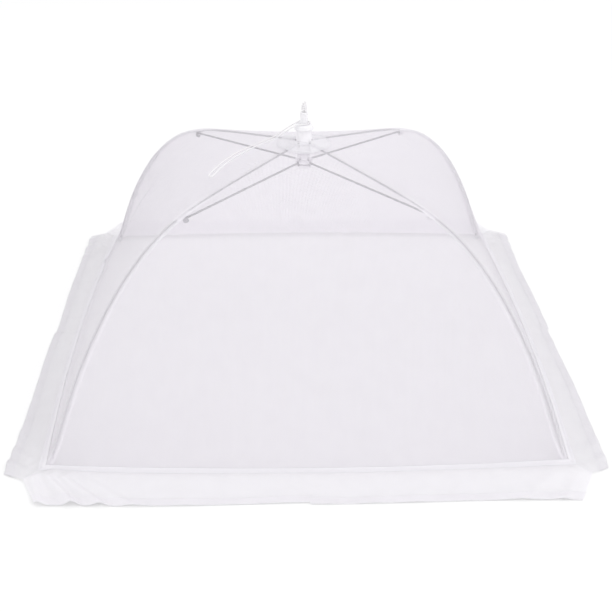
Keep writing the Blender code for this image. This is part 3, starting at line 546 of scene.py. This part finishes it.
stretcher_end = clip_point + lean_up * CLIP_EYE + sideways
shares = np.linspace(0, 1, STRETCHER_POINTS)[:, None]
straight = stretcher_start + (stretcher_end - stretcher_start) * shares
stretcher_path = np.vstack([inner_eye[::-1], straight, outer_eye])
for corner, angle in CORNERS.items():
    wire = steel_wire(f"stretcher_wire_{corner}", about_hub(stretcher_path, angle), STRETCHER_WIRE)
    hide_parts(f"stretcher_{corner}")
    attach(wire, f"stretcher_{corner}")

# Canopy: fine white polyester net, four panels joined over the ribs. Each panel hangs
# in a little between its ribs and bulges out at its hem.
CLOTH_CLEAR = 0.0017
NET_PITCH, NET_HOLE, NET_BLUR, NET_WEAR, SEAM_SHADE = 0.00095, 0.25, 0.12, 0.35, 0.6
SEAM_AT = (0, 0.0024, 0.0031, 0.0048, 0.0062)
SEAM_TOP, SEAM_LOW, SEAM_FRONT = (0.55, 0.55, 0.6, 0.6, 0), (1.8, 1.8, 1.7, 1.7, 0), (0.9, 0.9, 1.7, 1.7, 0)
SLEEVED_FROM, SLEEVED_OVER = 0.075, 0.02
NET_OPEN, NET_TIGHT, TIGHT_RUN = -0.40, 0.15, 0.24
# Painted shade on the net: the amount the thread tint darkens for each unit of a piece's painted shade value.
NET_PAINTED_SHADE, PAINTED_SHADE_RUN = 0.10, 0.20
# Painted shade on the panels: the right, left and front panels are painted darker from the top down, the back
# panel not.
PANEL_PAINTED_SHADE = {0: 1.0, 90: 0.0, 180: 1.15, 270: 0.55}
# Painted shade on the skirts: the side skirts painted darker, the front skirt a little paler.
SKIRT_PAINTED_SHADE = {0: 0.65, 90: 0.0, 180: 0.95, 270: -0.12}
# Painted light: a band along each panel's hem is painted paler, most on the sides, less on the back, not at
# the front.
HEM_PAINTED_LIGHT, HEM_PAINTED_LIGHT_WIDTH = {0: 1.2, 90: 0.6, 180: 1.4, 270: 0.0}, 0.012
PANEL_TOP, PANEL_SAG, PANEL_STEP = 0.0112, 0.0045, 0.0026
HEM_X, HEM_Z, HEM_BULGE, HEM_LEAVE_Z = RIB_REACH / math.sqrt(2) + 0.0035, 0.0040, 0.0080, 0.0170
HEM_FALL = ((0.36, 0.60), (0.68, 0.26))
BULGE_FROM, CREASE_END = 0.62, 9
HALVES = {
    "right_b": (0, 1, "back_right"), "right_f": (0, -1, "front_right"),
    "back_l": (90, 1, "back_left"), "back_r": (90, -1, "back_right"),
    "left_f": (180, 1, "front_left"), "left_b": (180, -1, "back_left"),
    "front_r": (270, 1, "front_right"), "front_l": (270, -1, "front_left"),
}


def net_finish(name, thread, shadow, hole, glow):
    """Hexagonal net: round holes on a triangular grid, drawn on the cloth's own map."""
    net = Finish(name, thread, 0.75, Sheen_Weight=0.15)
    map_across, map_down = net.cloth_map()
    around = math.tau / NET_PITCH
    across = net.math("MULTIPLY", map_across, around)
    down = net.math("MULTIPLY", map_down, around * math.sqrt(3) / 2)
    half = net.math("MULTIPLY", across, -0.5)
    cosines = [
        net.math("COSINE", way)
        for way in (across, net.math("ADD", half, down), net.math("SUBTRACT", half, down))
    ]
    waves = net.math("ADD", cosines[0], net.math("ADD", *cosines[1:]))
    worn = net.math("MULTIPLY_ADD", net.noise(55, 3), NET_WEAR, hole - NET_WEAR / 2)
    worn = net.math("ADD", worn, net.shade("seam"))
    edge = net.node("ShaderNodeMapRange", {
        "Value": net.math("SUBTRACT", waves, worn),
        "From Min": -NET_BLUR, "From Max": NET_BLUR, "To Min": 1.0, "To Max": 0.0,
    })
    # The thread tint varies at random between the two colours, then takes painted shade from the piece's
    # painted shade value.
    tint = net.dusky(net.between(net.noise(90, 3), 0.3, 0.7, shadow, thread), NET_PAINTED_SHADE)
    net.colour(tint)
    net.bump(waves, 0.0002, 0.3)
    glowing = net.node("ShaderNodeBsdfTranslucent", {"Color": tint}).outputs[0]
    doubled = net.math("MAXIMUM", net.shade("seam"), 0.0)
    single = net.math("MULTIPLY_ADD", doubled, -glow * SEAM_SHADE, glow)
    single = net.math("MAXIMUM", single, 0.0)
    threads = net.node("ShaderNodeMixShader", {0: single, 1: net.shader.outputs[0], 2: glowing})
    holes = net.node("ShaderNodeBsdfTransparent").outputs[0]
    cloth = net.node("ShaderNodeMixShader", {0: edge.outputs[0], 1: holes, 2: threads.outputs[0]})
    net.tree.links.new(cloth.outputs[0], net.tree.nodes["Material Output"].inputs["Surface"])
    return net.material


rib_along = unit(np.gradient(RIB_LINE, axis=0))
rib_off = np.column_stack([-rib_along[:, 2], np.zeros(len(rib_along)), rib_along[:, 0]])
ridge_cross = unit(np.cross(rib_along, unit(np.array((1.0, -1.0, 0)))))
ridge_lift = (CLOTH_CLEAR / np.abs((ridge_cross * rib_off).sum(1)))[:, None]


def plan_line():
    """A panel's line over its rib, seen square to the hem: distance out and height, top first."""
    ridge = RIB_LINE + rib_off * ridge_lift
    kept = ridge[(ridge[:, 0] > PANEL_TOP) & (ridge[:, 2] > HEM_LEAVE_Z)]
    line = [np.array((PANEL_TOP / math.sqrt(2), 0, np.interp(PANEL_TOP, ridge[:, 0], ridge[:, 2])))]
    line += [np.array((p[0] / math.sqrt(2), 0, p[2])) for p in kept[::5]]
    leave = line[-1]
    for out, up in (*HEM_FALL, (1, 0)):
        line.append(np.array((leave[0] + (HEM_X - leave[0]) * out, 0, HEM_Z + (leave[2] - HEM_Z) * up)))
    return smooth_line(line, PANEL_STEP)


def line_off(line):
    along = np.gradient(line, axis=0)
    return unit(np.column_stack([-along[:, 2], np.zeros(len(line)), along[:, 0]]))


PANEL_LINE = plan_line()
PANEL_RUN = run_along(PANEL_LINE)


def crease(run, y, start, end, width, depth):
    """Depth of one soft fold that runs straight between two points of the panel."""
    a, b = np.array(start), np.array(end)
    span = b - a
    s = np.clip(((run - a[0]) * span[0] + (y - a[1]) * span[1]) / (span @ span), 0, 1)
    gap = np.hypot(run - a[0] - s * span[0], y - a[1] - s * span[1])
    return depth * np.exp(-((gap / width) ** 2)) * np.sin(math.pi * np.clip(s, 0.04, 0.96))


# Folds of each panel: run down the cloth and distance from its middle at both ends, width, height
CREASES = {
    0: ((0.15, 0.07, 0.3, 0.1, 0.006, 0.0008), (0.22, -0.1, 0.33, -0.15, 0.007, 0.0007)),
    90: ((0.18, 0.05, 0.31, 0.02, 0.007, 0.0007),),
    180: (
        (0.1, -0.06, 0.24, -0.085, 0.005, -0.0022), (0.13, -0.045, 0.26, -0.055, 0.0055, 0.0019),
        (0.27, -0.14, 0.345, -0.165, 0.0045, 0.0026), (0.29, -0.115, 0.35, -0.135, 0.0045, -0.0022),
        (0.2, 0.06, 0.34, 0.09, 0.007, 0.0007),
    ),
    270: ((0.24, -0.12, 0.35, -0.16, 0.007, 0.0008), (0.25, 0.13, 0.35, 0.165, 0.007, 0.0007)),
}


def panel_grid(side, angle, shares, rows=slice(None), lift=0.0):
    """Points of half a panel in its own frame, with their place on the flat cloth."""
    off = line_off(PANEL_LINE)[rows]
    base = PANEL_LINE[rows]
    run = PANEL_RUN[rows][:, None]
    s = run / PANEL_RUN[-1]
    y = base[:, :1] * shares[None] * side
    low = np.clip((s - BULGE_FROM) / (1 - BULGE_FROM), 0, 1)
    open_share = 1 - shares[None] ** 2
    sag = -PANEL_SAG * np.sin(math.pi * s) * open_share
    for fold in CREASES[angle]:
        wave = crease(run, y, fold[:2], fold[2:4], *fold[4:])
        sag = sag + wave * np.clip((1 - shares[None]) * CREASE_END, 0, 1)
    x = base[:, :1] + off[:, :1] * (sag + lift) + HEM_BULGE * open_share * low**2
    z = base[:, 2:] + off[:, 2:] * (sag + lift)
    verts = np.stack([x, y, z], axis=-1)
    uv = np.stack([y, np.repeat(run, len(shares), axis=1)], axis=-1)
    return verts, uv


def cloth_piece(name, verts, uv, side, angle, material, thick=None, **shades):
    """A grid of points as cloth in its place round the hub, with its thickness if one is given."""
    rows, columns = verts.shape[:2]
    faces = []
    for i in range(rows - 1):
        for k in range(columns - 1):
            quad = (i * columns + k, (i + 1) * columns + k, (i + 1) * columns + k + 1, i * columns + k + 1)
            faces.append(quad if side > 0 else quad[::-1])
    turned_verts = about_hub(verts.reshape(-1, 3), angle)
    piece = mesh_piece(name, turned_verts, faces, material, uv.reshape(-1, 2), **shades)
    if thick is None:
        return piece
    solid = piece.modifiers.new("thick", "SOLIDIFY")
    solid.thickness, solid.offset = thick, 0
    return plain_mesh(piece)


def hang(piece, label):
    """Set each point for a moment to its share from its rib, at the panel's edge, to the panel's middle, then
    put the points back.
    """
    angle, _, corner = HALVES[label]
    mesh = piece.data
    real = np.zeros(len(mesh.vertices) * 3, np.float32)
    mesh.vertices.foreach_get("co", real)
    local = about_hub(real.reshape(-1, 3), -angle)
    bend = np.zeros_like(local)
    bend[:, 0] = 1 - np.arctan2(np.abs(local[:, 1]), local[:, 0]) / math.radians(45)
    mesh.vertices.foreach_set("co", bend.astype(np.float32).ravel())
    mesh.update()
    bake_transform(piece)
    mesh.vertices.foreach_set("co", real)
    mesh.update()


PANEL_NET = net_finish("panel_net", (0.92, 0.893, 0.942), (0.895, 0.867, 0.918), NET_HOLE, 0.42)
panel_shares = np.concatenate([
    np.linspace(0, 0.9, 34, endpoint=False),
    np.linspace(0.9, 0.97, 7, endpoint=False),
    np.linspace(0.97, 1, 14),
])
for label, (angle, side, corner) in HALVES.items():
    verts, uv = panel_grid(side, angle, panel_shares)
    from_rib = verts[:, -1:, 1] * side - verts[..., 1] * side
    sleeved_share = np.clip((PANEL_RUN - SLEEVED_FROM) / SLEEVED_OVER, 0, 1)[:, None]
    low_seam = SEAM_FRONT if angle == 270 else SEAM_LOW
    dense = [np.interp(from_rib, SEAM_AT, amounts) for amounts in (SEAM_TOP, low_seam)]
    stretch = NET_OPEN + (NET_TIGHT - NET_OPEN) * np.clip(PANEL_RUN / TIGHT_RUN, 0, 1)[:, None]
    seam = stretch + dense[0] + (dense[1] - dense[0]) * sleeved_share
    near_hem = np.clip((PANEL_RUN - PANEL_RUN[-1]) / HEM_PAINTED_LIGHT_WIDTH + 1, 0, 1)[:, None]
    # Painted shade: darker down the panel, by an amount that depends on the side.
    dusk = np.clip(PANEL_RUN / PAINTED_SHADE_RUN, 0, 1)[:, None] * PANEL_PAINTED_SHADE[angle] + 0 * from_rib
    # Painted light: paler towards the hem.
    dusk = dusk - near_hem * HEM_PAINTED_LIGHT[angle]
    shades = {"seam": seam.ravel(), "dusk": dusk.ravel()}
    panel = cloth_piece(f"panel_net_{label}", verts, uv, side, angle, PANEL_NET, **shades)
    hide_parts(f"mesh_{label}")
    hang(panel, label)

# Skirt: the same net goes on past the hem, flares out on the table and is gathered at
# the corners. Its outer edge is turned under and sewn, so it looks denser there.
SKIRT_REACH = {0: 0.0335, 90: 0.0485, 180: 0.0335, 270: 0.0485}
SKIRT_CORNER, SKIRT_CUT, SKIRT_STEP, SKIRT_RISE = 0.0165, 0.50, 0.0021, 0.016
SKIRT_FALL = ((0.18, 0.45), (0.50, 0.16))
SKIRT_LIE, FOLD_WIDTH, FOLD_DROP, FOLD_OUT, FOLD_DENSE = 0.0013, 0.0085, 0.0006, 0.00025, 0.8
RIPPLE, WANDER, SLANT_FROM, CORNER_MEAN = (0.019, 0.0083, 0.0005), (0.043, 0.0011), 0.02, 0.6
# Gathers of each half: distance from the corner, width, height and slant outwards
GATHERS = {
    "front_l": ((0.008, 0.005, 0.0042, -0.2), (0.021, 0.0055, 0.005, 0.3), (0.036, 0.006, 0.0034, 0.55),
                (0.054, 0.008, 0.0018, 0.8)),
    "front_r": ((0.012, 0.007, 0.0018, 0.1), (0.034, 0.009, 0.0014, 0.45)),
    "left_f": ((0.01, 0.006, 0.0036, 0.1), (0.026, 0.007, 0.0022, 0.4), (0.048, 0.009, 0.0012, 0.6)),
    "right_f": ((0.011, 0.006, 0.0022, 0.1), (0.03, 0.008, 0.0014, 0.4)),
    "left_b": ((0.012, 0.006, 0.0034, 0.2), (0.03, 0.007, 0.0028, 0.45), (0.05, 0.008, 0.0014, 0.6)),
    "right_b": ((0.01, 0.006, 0.003, 0.2), (0.027, 0.007, 0.0024, 0.4), (0.046, 0.009, 0.0012, 0.6)),
    "back_l": ((0.009, 0.0055, 0.0036, 0.1), (0.024, 0.0065, 0.003, 0.35), (0.042, 0.008, 0.0016, 0.6)),
    "back_r": ((0.011, 0.0055, 0.0032, 0.1), (0.026, 0.0065, 0.0026, 0.35), (0.047, 0.008, 0.0014, 0.6)),
}


def skirt_line(angle):
    """The skirt's line from the hem to its edge, then back under itself."""
    edge = np.array((HEM_X + SKIRT_REACH[angle], 0, SKIRT_LIE))
    start = PANEL_LINE[-1]
    between = [
        (start[0] + (edge[0] - start[0]) * out, 0, edge[2] + (start[2] - edge[2]) * up)
        for out, up in SKIRT_FALL
    ]
    line = smooth_line([start, *between, edge], SKIRT_STEP)
    turn = np.array([(FOLD_OUT, 0, -FOLD_DROP / 2), (0, 0, -FOLD_DROP)]) + edge
    inner = line[line[:, 0] > edge[0] - FOLD_WIDTH][::-1][1:]
    return np.vstack([line, turn, inner - np.array((0, 0, FOLD_DROP))])


def skirt_grid(label, shares, rows, lift=0.0):
    """Points of half a skirt in its own frame, with their place on the flat cloth."""
    angle, side, _ = HALVES[label]
    whole = skirt_line(angle)
    run = run_along(whole)
    line, off = whole[rows], line_off(whole)[rows]
    corner = HEM_X + SKIRT_CORNER
    far = np.where(line[:, 0] < corner, line[:, 0], corner - (line[:, 0] - corner) * SKIRT_CUT)
    y = far[:, None] * shares[None]
    out = line[:, 0] - HEM_X
    rise = np.clip(out / SKIRT_RISE, 0, 1)[:, None] ** 1.5
    z = line[:, 2:] + np.zeros_like(y)
    for centre, width, height, slant in GATHERS[label]:
        gap = far[:, None] - y - centre - slant * (out[:, None] - SLANT_FROM)
        z = z + height * rise * np.exp(-((gap / width) ** 2))
    faint = np.sin(y / RIPPLE[0] + angle) * np.sin(y / RIPPLE[1] + side) * RIPPLE[2]
    z = z + faint * rise + np.abs(off[:, 2:]) * lift
    bulge = HEM_BULGE * (1 - shares[None] ** 2) * np.clip(1 - out / SKIRT_REACH[angle], 0, 1)[:, None]
    wander = np.sin(y / WANDER[0] + side) * WANDER[1] * rise
    x = line[:, :1] + bulge + wander + np.zeros_like(y)
    verts = np.stack([x, y * side, z], axis=-1)
    uv = np.stack([y * side, PANEL_RUN[-1] + np.repeat(run[rows][:, None], len(shares), axis=1)], axis=-1)
    return verts, uv


# The same net as the panels, with its thread colours painted paler: painted light on the skirt.
SKIRT_NET = net_finish("skirt_net", (0.945, 0.928, 0.965), (0.915, 0.898, 0.935), NET_HOLE + 0.50, 0.12)
skirt_shares = np.concatenate([np.linspace(0, 0.62, 30, endpoint=False), np.linspace(0.62, 1, 74)])
for label, (angle, side, _) in HALVES.items():
    verts, uv = skirt_grid(label, skirt_shares, np.arange(len(skirt_line(angle))))
    # Painted shade of each skirt, the same over the whole skirt.
    dusk = np.full(verts[..., 0].size, SKIRT_PAINTED_SHADE[angle])
    folded = skirt_line(angle)[:, 0] > HEM_X + SKIRT_REACH[angle] - FOLD_WIDTH
    seam = np.repeat(folded * FOLD_DENSE, len(skirt_shares))
    skirt = cloth_piece(f"skirt_net_{label}", verts, uv, side, angle, SKIRT_NET, seam=seam, dusk=dusk)
    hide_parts(f"skirt_{label}")
    hang(skirt, label)

# Hem tape: narrow white woven tape over the seam between panel and skirt, sewn along its
# upper edge with white lockstitches and below them with a fine zigzag. One more row of
# lockstitches holds the skirt's turned edge.
TAPE_LIFT, TAPE_PAINTED_SHADE, TAPE_ROWS, TAPE_COLUMNS = 0.0002, 0.04, 4, 60
# Painted light and shade on the hem tapes: the side tapes painted a little darker, the back tape painted
# paler.
TAPE_PAINTED_LIGHT_AND_SHADE = {0: 0.2, 90: -1.5, 180: 0.2, 270: 0.0}
# Sizes that each kind of stitch is given by, and each kind's values in that order
STITCH_LIFT, STITCH_SIZES = 0.0003, ("Spacing", "Length", "Thread", "Height", "Slant")
HEM_STITCH = (0.0026, 0.0021, 0.00020, 0.00025, 0.0)
HEM_ZIGZAG = (0.0016, 0.0032, 0.00011, 0.00015, math.radians(60))
EDGE_STITCH, EDGE_STITCH_IN = (0.0034, 0.0026, 0.00013, 0.00015, 0.0), 0.0015


def tape_finish(name, colour, dark, pitch):
    """Plain-woven tape: a fine check of warp and weft, with a slightly darker ground."""
    tape = Finish(name, colour, 0.8, Sheen_Weight=0.15)
    threads = [
        tape.math("SINE", tape.math("MULTIPLY", way, math.tau / pitch))
        for way in tape.cloth_map()
    ]
    weave = tape.math("MULTIPLY", *threads)
    mottled = tape.math("MULTIPLY_ADD", tape.noise(300, 3), 1.5, weave)
    # Painted shade: the tint darkens with the tape's painted shade value.
    tape.colour(tape.dusky(tape.between(mottled, -0.4, 1.6, dark, colour), TAPE_PAINTED_SHADE))
    tape.bump(weave, 0.00006, 0.6)
    return tape.material


def thread_finish(name):
    thread = Finish(name, (0.86, 0.85, 0.88), 0.6, Sheen_Weight=0.3)
    thread.colour(thread.between(thread.noise(3000, 2), 0.3, 0.7, (0.78, 0.77, 0.80), (0.90, 0.89, 0.92)))
    return thread.material


def stitch_tree():
    """Stitches at even spacing along a line, square to its cloth and turned by a slant."""
    tree = bpy.data.node_groups.new("stitches_along_line", "GeometryNodeTree")
    sockets = (("Line", "Geometry"), *((size, "Float") for size in STITCH_SIZES), ("Finish", "Material"))
    for title, kind in sockets:
        tree.interface.new_socket(title, in_out="INPUT", socket_type=f"NodeSocket{kind}")
    tree.interface.new_socket("Stitches", in_out="OUTPUT", socket_type="NodeSocketGeometry")

    def made(kind, inputs=(), **settings):
        return tree_node(tree, kind, inputs, **settings).outputs[0]

    def times(value, factor):
        return made("ShaderNodeMath", {0: value, 1: factor}, operation="MULTIPLY")

    given = tree_node(tree, "NodeGroupInput").outputs
    line = made("GeometryNodeMeshToCurve", {0: given["Line"]})
    spaced = made("GeometryNodeResampleCurve", {"Curve": line, "Length": given["Spacing"]}, mode="LENGTH")
    arc = made("GeometryNodeCurveQuadraticBezier", {
        "Resolution": 4,
        "Start": made("ShaderNodeCombineXYZ", {0: times(given["Length"], -0.5)}),
        "Middle": made("ShaderNodeCombineXYZ", {2: given["Height"]}),
        "End": made("ShaderNodeCombineXYZ", {0: times(given["Length"], 0.5)}),
    })
    ring = made("GeometryNodeCurvePrimitiveCircle", {"Resolution": 5, "Radius": given["Thread"]})
    strand = made("GeometryNodeCurveToMesh", {"Curve": arc, "Profile Curve": ring, "Fill Caps": True})
    facing = made("GeometryNodeInputNamedAttribute", {"Name": "off_cloth"}, data_type="FLOAT_VECTOR")
    along = made(
        "FunctionNodeAlignRotationToVector", {"Vector": made("GeometryNodeInputTangent")}, axis="X")
    laid = made(
        "FunctionNodeAlignRotationToVector", {"Rotation": along, "Vector": facing}, axis="Z", pivot_axis="X")
    parity = made("ShaderNodeMath", {0: made("GeometryNodeInputIndex"), 1: 2}, operation="MODULO")
    sign = made("ShaderNodeMapRange", {"Value": parity, "To Min": -1})
    spin = made("FunctionNodeAxisAngleToRotation", {"Axis": (0, 0, 1), "Angle": times(sign, given["Slant"])})
    slanted = made("FunctionNodeRotateRotation", {0: laid, 1: spin}, rotation_space="LOCAL")
    placed = made("GeometryNodeInstanceOnPoints", {"Points": spaced, "Instance": strand, "Rotation": slanted})
    real = made("GeometryNodeRealizeInstances", {0: placed})
    coated = made("GeometryNodeSetMaterial", {"Geometry": real, "Material": given["Finish"]})
    tree_node(tree, "NodeGroupOutput", {0: coated})
    return tree


STITCHES = stitch_tree()
STITCH_SOCKETS = {s.name: s.identifier for s in STITCHES.interface.items_tree if s.in_out == "INPUT"}
SEWING_THREAD = thread_finish("sewing_thread")


def stitch_row(name, lines, sizes):
    """Sew along one or more lines, each given as points and directions off the cloth."""
    mesh = bpy.data.meshes.new(name)
    verts = np.vstack([points for points, _ in lines])
    edges, start = [], 0
    for points, _ in lines:
        edges += [(start + i, start + i + 1) for i in range(len(points) - 1)]
        start += len(points)
    mesh.from_pydata(verts.tolist(), edges, [])
    off = mesh.attributes.new("off_cloth", "FLOAT_VECTOR", "POINT")
    off.data.foreach_set("vector", np.vstack([o for _, o in lines]).astype(np.float32).ravel())
    row = bpy.data.objects.new(name, mesh)
    bpy.context.scene.collection.objects.link(row)
    sewing = row.modifiers.new("sewing", "NODES")
    sewing.node_group = STITCHES
    for title, value in zip((*STITCH_SIZES, "Finish"), (*sizes, SEWING_THREAD)):
        sewing[STITCH_SOCKETS[title]] = value
    plain_mesh(row)
    row.data.polygons.foreach_set("use_smooth", [True] * len(row.data.polygons))
    return row


def cloth_line(verts, row, angle):
    """One row of a half's grid as a line to sew along, with the way off the cloth."""
    out = np.gradient(verts, axis=0)[row]
    along = np.gradient(verts[row], axis=0)
    off = unit(np.cross(along, out))
    off = off * np.where(off[:, 2:] < 0, -1, 1)
    return about_hub(verts[row] + off * STITCH_LIFT, angle), about_hub(off, angle)


HEM_TAPE = tape_finish("hem_tape", (0.86, 0.845, 0.88), (0.79, 0.775, 0.81), 0.0008)
tape_shares = np.linspace(0, 1, TAPE_COLUMNS)
for label, (angle, side, _) in HALVES.items():
    above, above_uv = panel_grid(side, angle, tape_shares, rows=slice(-1, None), lift=TAPE_LIFT)
    below, below_uv = skirt_grid(label, tape_shares, np.arange(1, TAPE_ROWS), lift=TAPE_LIFT)
    verts, uv = np.vstack([above, below]), np.vstack([above_uv, below_uv])
    dusk = np.full(verts[..., 0].size, TAPE_PAINTED_LIGHT_AND_SHADE[angle])
    tape = cloth_piece(f"hem_tape_{label}", verts, uv, side, angle, HEM_TAPE, dusk=dusk)
    hang(tape, label)
    hang(stitch_row(f"hem_stitches_{label}", [cloth_line(verts, 0, angle)], HEM_STITCH), label)
    hang(stitch_row(f"hem_zigzag_{label}", [cloth_line(verts, 2, angle)], HEM_ZIGZAG), label)
    fold_from = HEM_X + SKIRT_REACH[angle] - FOLD_WIDTH
    edge_row = np.flatnonzero(skirt_line(angle)[:, 0] < fold_from + EDGE_STITCH_IN)
    edge_row = edge_row[edge_row < len(skirt_line(angle)) - 6][-1]
    edge, _ = skirt_grid(label, skirt_shares, np.arange(edge_row - 1, edge_row + 2))
    hang(stitch_row(f"skirt_stitches_{label}", [cloth_line(edge, 1, angle)], EDGE_STITCH), label)

# Sleeves: woven tape folded under each rib from its clip to its foot. Its two edges are
# sewn to the panels, each with a white zigzag along its side of the rib.
SLEEVE_START, SLEEVE_END_Z, SLEEVE_DROP, SLEEVE_THICK = 0.0078, 0.0068, 0.0004, 0.0002
SLEEVE_EDGE, SLEEVE_FOLD, SLEEVE_ROUND = 0.0036, 0.0011, 0.00108
SLEEVE_BENDS = (15, -25, -60, -90, -120, -155, -195)
SLEEVE_ZIGZAG = (0.0025, 0.0035, 0.0002, 0.0003, math.radians(44))
ZIGZAG_OUT, ZIGZAG_LIFT = 0.0029, 0.0006
SLEEVE_TAPE = tape_finish("sleeve_tape", (0.90, 0.89, 0.92), (0.78, 0.77, 0.80), 0.0007)
past_clip = (RIB_LINE - clip_centre) @ clip_along
sleeved = (past_clip > SLEEVE_START) & (RIB_LINE[:, 2] > SLEEVE_END_Z)
ridge = (RIB_LINE + rib_off * (ridge_lift - SLEEVE_DROP))[sleeved]
section, zigzag_lines = [], []
for way in (1, -1):
    hem_way = unit(np.array((-1.0, way, 0)))
    down = unit(hem_way - rib_along * (rib_along @ hem_way)[:, None])[sleeved]
    section.append([ridge + down * SLEEVE_EDGE, ridge + down * SLEEVE_FOLD])
    off = np.cross(rib_along[sleeved], down) * way
    zigzag_lines.append((ridge + down * ZIGZAG_OUT + off * ZIGZAG_LIFT, off))
under = []
for degrees in SLEEVE_BENDS:
    q = math.radians(degrees)
    lateral = np.array((0, math.cos(q), 0))
    under.append(RIB_LINE[sleeved] + (lateral + rib_off[sleeved] * math.sin(q)) * SLEEVE_ROUND)
sleeve_verts = np.stack([*section[0], *under, *section[1][::-1]], axis=1)
sleeve_run = rib_run[sleeved]
sleeve_across = run_along(sleeve_verts[40])
sleeve_uv = np.stack(np.meshgrid(sleeve_across, sleeve_run), axis=-1)
for corner, angle in CORNERS.items():
    sleeve = cloth_piece(
        f"sleeve_tape_{corner}", sleeve_verts, sleeve_uv, 1, angle, SLEEVE_TAPE, SLEEVE_THICK)
    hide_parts(f"rib_sleeve_{corner}")
    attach(sleeve, f"rib_{corner}")
    lines = [(about_hub(points, angle), about_hub(off, angle)) for points, off in zigzag_lines]
    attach(stitch_row(f"sleeve_zigzag_{corner}", lines, SLEEVE_ZIGZAG), f"rib_{corner}")

# Crown patch: a round of doubled net laid over the panels' tips round the hub tube, with
# its edge turned under and sewn. Made in eighths.
PATCH_INNER, PATCH_OUTER, PATCH_LIFT, PATCH_FOLD = 0.0076, 0.0248, 0.0009, 0.0024
PATCH_ROWS, PATCH_COLUMNS, PATCH_SEWN_ROW = 20, 17, 17
EDGE_OUT, EDGE_IN, EDGE_DROP = 0.0001, 0.0008, (0.0002, 0.0004, 0.0004)
PATCH_STITCH, PATCH_STITCH_LIFT = (0.0026, 0.0020, 0.00020, 0.00025, 0.0), 0.00035


def canopy_height(distance):
    """Height of the panels at a distance out from the hub, square to the hem."""
    return np.interp(distance, PANEL_LINE[:, 0], PANEL_LINE[:, 2])


PATCH_NET = net_finish("patch_net", (0.93, 0.92, 0.95), (0.89, 0.88, 0.915), NET_HOLE, 0.15)
patch_radii = np.concatenate([
    np.linspace(PATCH_INNER, PATCH_OUTER, PATCH_ROWS),
    [PATCH_OUTER + EDGE_OUT, PATCH_OUTER - EDGE_IN, PATCH_OUTER - PATCH_FOLD],
])[:, None]
patch_drop = np.concatenate([np.zeros(PATCH_ROWS), EDGE_DROP])[:, None]
for label, (angle, side, _) in HALVES.items():
    patch_turn = np.linspace(0, side * math.pi / 4, PATCH_COLUMNS)[None]
    patch_out = patch_radii * np.cos(patch_turn)
    patch_z = canopy_height(patch_out) + PATCH_LIFT - patch_drop
    patch_verts = np.stack([patch_out, patch_radii * np.sin(patch_turn), patch_z], axis=-1)
    patch_uv = about_hub(patch_verts.reshape(-1, 3), angle)[:, :2]
    patch = cloth_piece(f"crown_patch_net_{label}", patch_verts, patch_uv, side, angle, PATCH_NET)
    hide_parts("crown_patch")
    hang(patch, label)
    patch_edge = about_hub(patch_verts[PATCH_SEWN_ROW] + np.array((0, 0, PATCH_STITCH_LIFT)), angle)
    patch_off = np.tile((0.0, 0, 1.0), (len(patch_edge), 1))
    hang(stitch_row(f"crown_stitches_{label}", [(patch_edge, patch_off)], PATCH_STITCH), label)

# Floor and light: a plain pale table that keeps a faint shadow, a bright room all
# round, and one large soft lamp above the front right.
FLOOR_REACH, FLOOR_WHITE, FLOOR_PALE = 9.0, 0.30, (0.95, 0.95, 0.95, 1)
LAMP_SIZE, LAMP_POWER = 1.6, 14
LAMP_PLACE, LAMP_AIM = Vector((1.1, -1.0, 2.5)), Vector((0, 0, 0.08))
table = Finish("table", (0.92, 0.92, 0.92), 0.9)
rays = table.node("ShaderNodeLightPath").outputs
seen = table.math("MAXIMUM", rays["Is Camera Ray"], rays["Is Glossy Ray"])
glow = table.node("ShaderNodeEmission", {"Color": (1, 1, 1, 1), "Strength": 1.0}).outputs[0]
shadowed = table.node("ShaderNodeBsdfDiffuse", {"Color": FLOOR_PALE}).outputs[0]
white = table.node("ShaderNodeMixShader", {0: FLOOR_WHITE, 1: shadowed, 2: glow}).outputs[0]
plain = table.shader.outputs[0]
both = table.node("ShaderNodeMixShader", {0: seen, 1: plain, 2: white}).outputs[0]
table.tree.links.new(both, table.tree.nodes["Material Output"].inputs["Surface"])
floor = mesh_piece(
    "table_top",
    [(x * FLOOR_REACH, y * FLOOR_REACH, 0) for x, y in ((-1, -1), (1, -1), (1, 1), (-1, 1))],
    [(0, 1, 2, 3)], table.material, smooth=False,
)
world = bpy.data.worlds.new("room")
world.use_nodes = True
bpy.context.scene.world = world
background = world.node_tree.nodes["Background"]
background.inputs["Color"].default_value = (1, 1, 1, 1)
background.inputs["Strength"].default_value = 1.0
lamp_data = bpy.data.lights.new("soft_lamp", "AREA")
lamp_data.size = LAMP_SIZE
lamp_data.energy = LAMP_POWER
lamp = bpy.data.objects.new("soft_lamp", lamp_data)
lamp.location = LAMP_PLACE
lamp.rotation_euler = (LAMP_AIM - LAMP_PLACE).to_track_quat("-Z", "Y").to_euler()
bpy.context.scene.collection.objects.link(lamp)
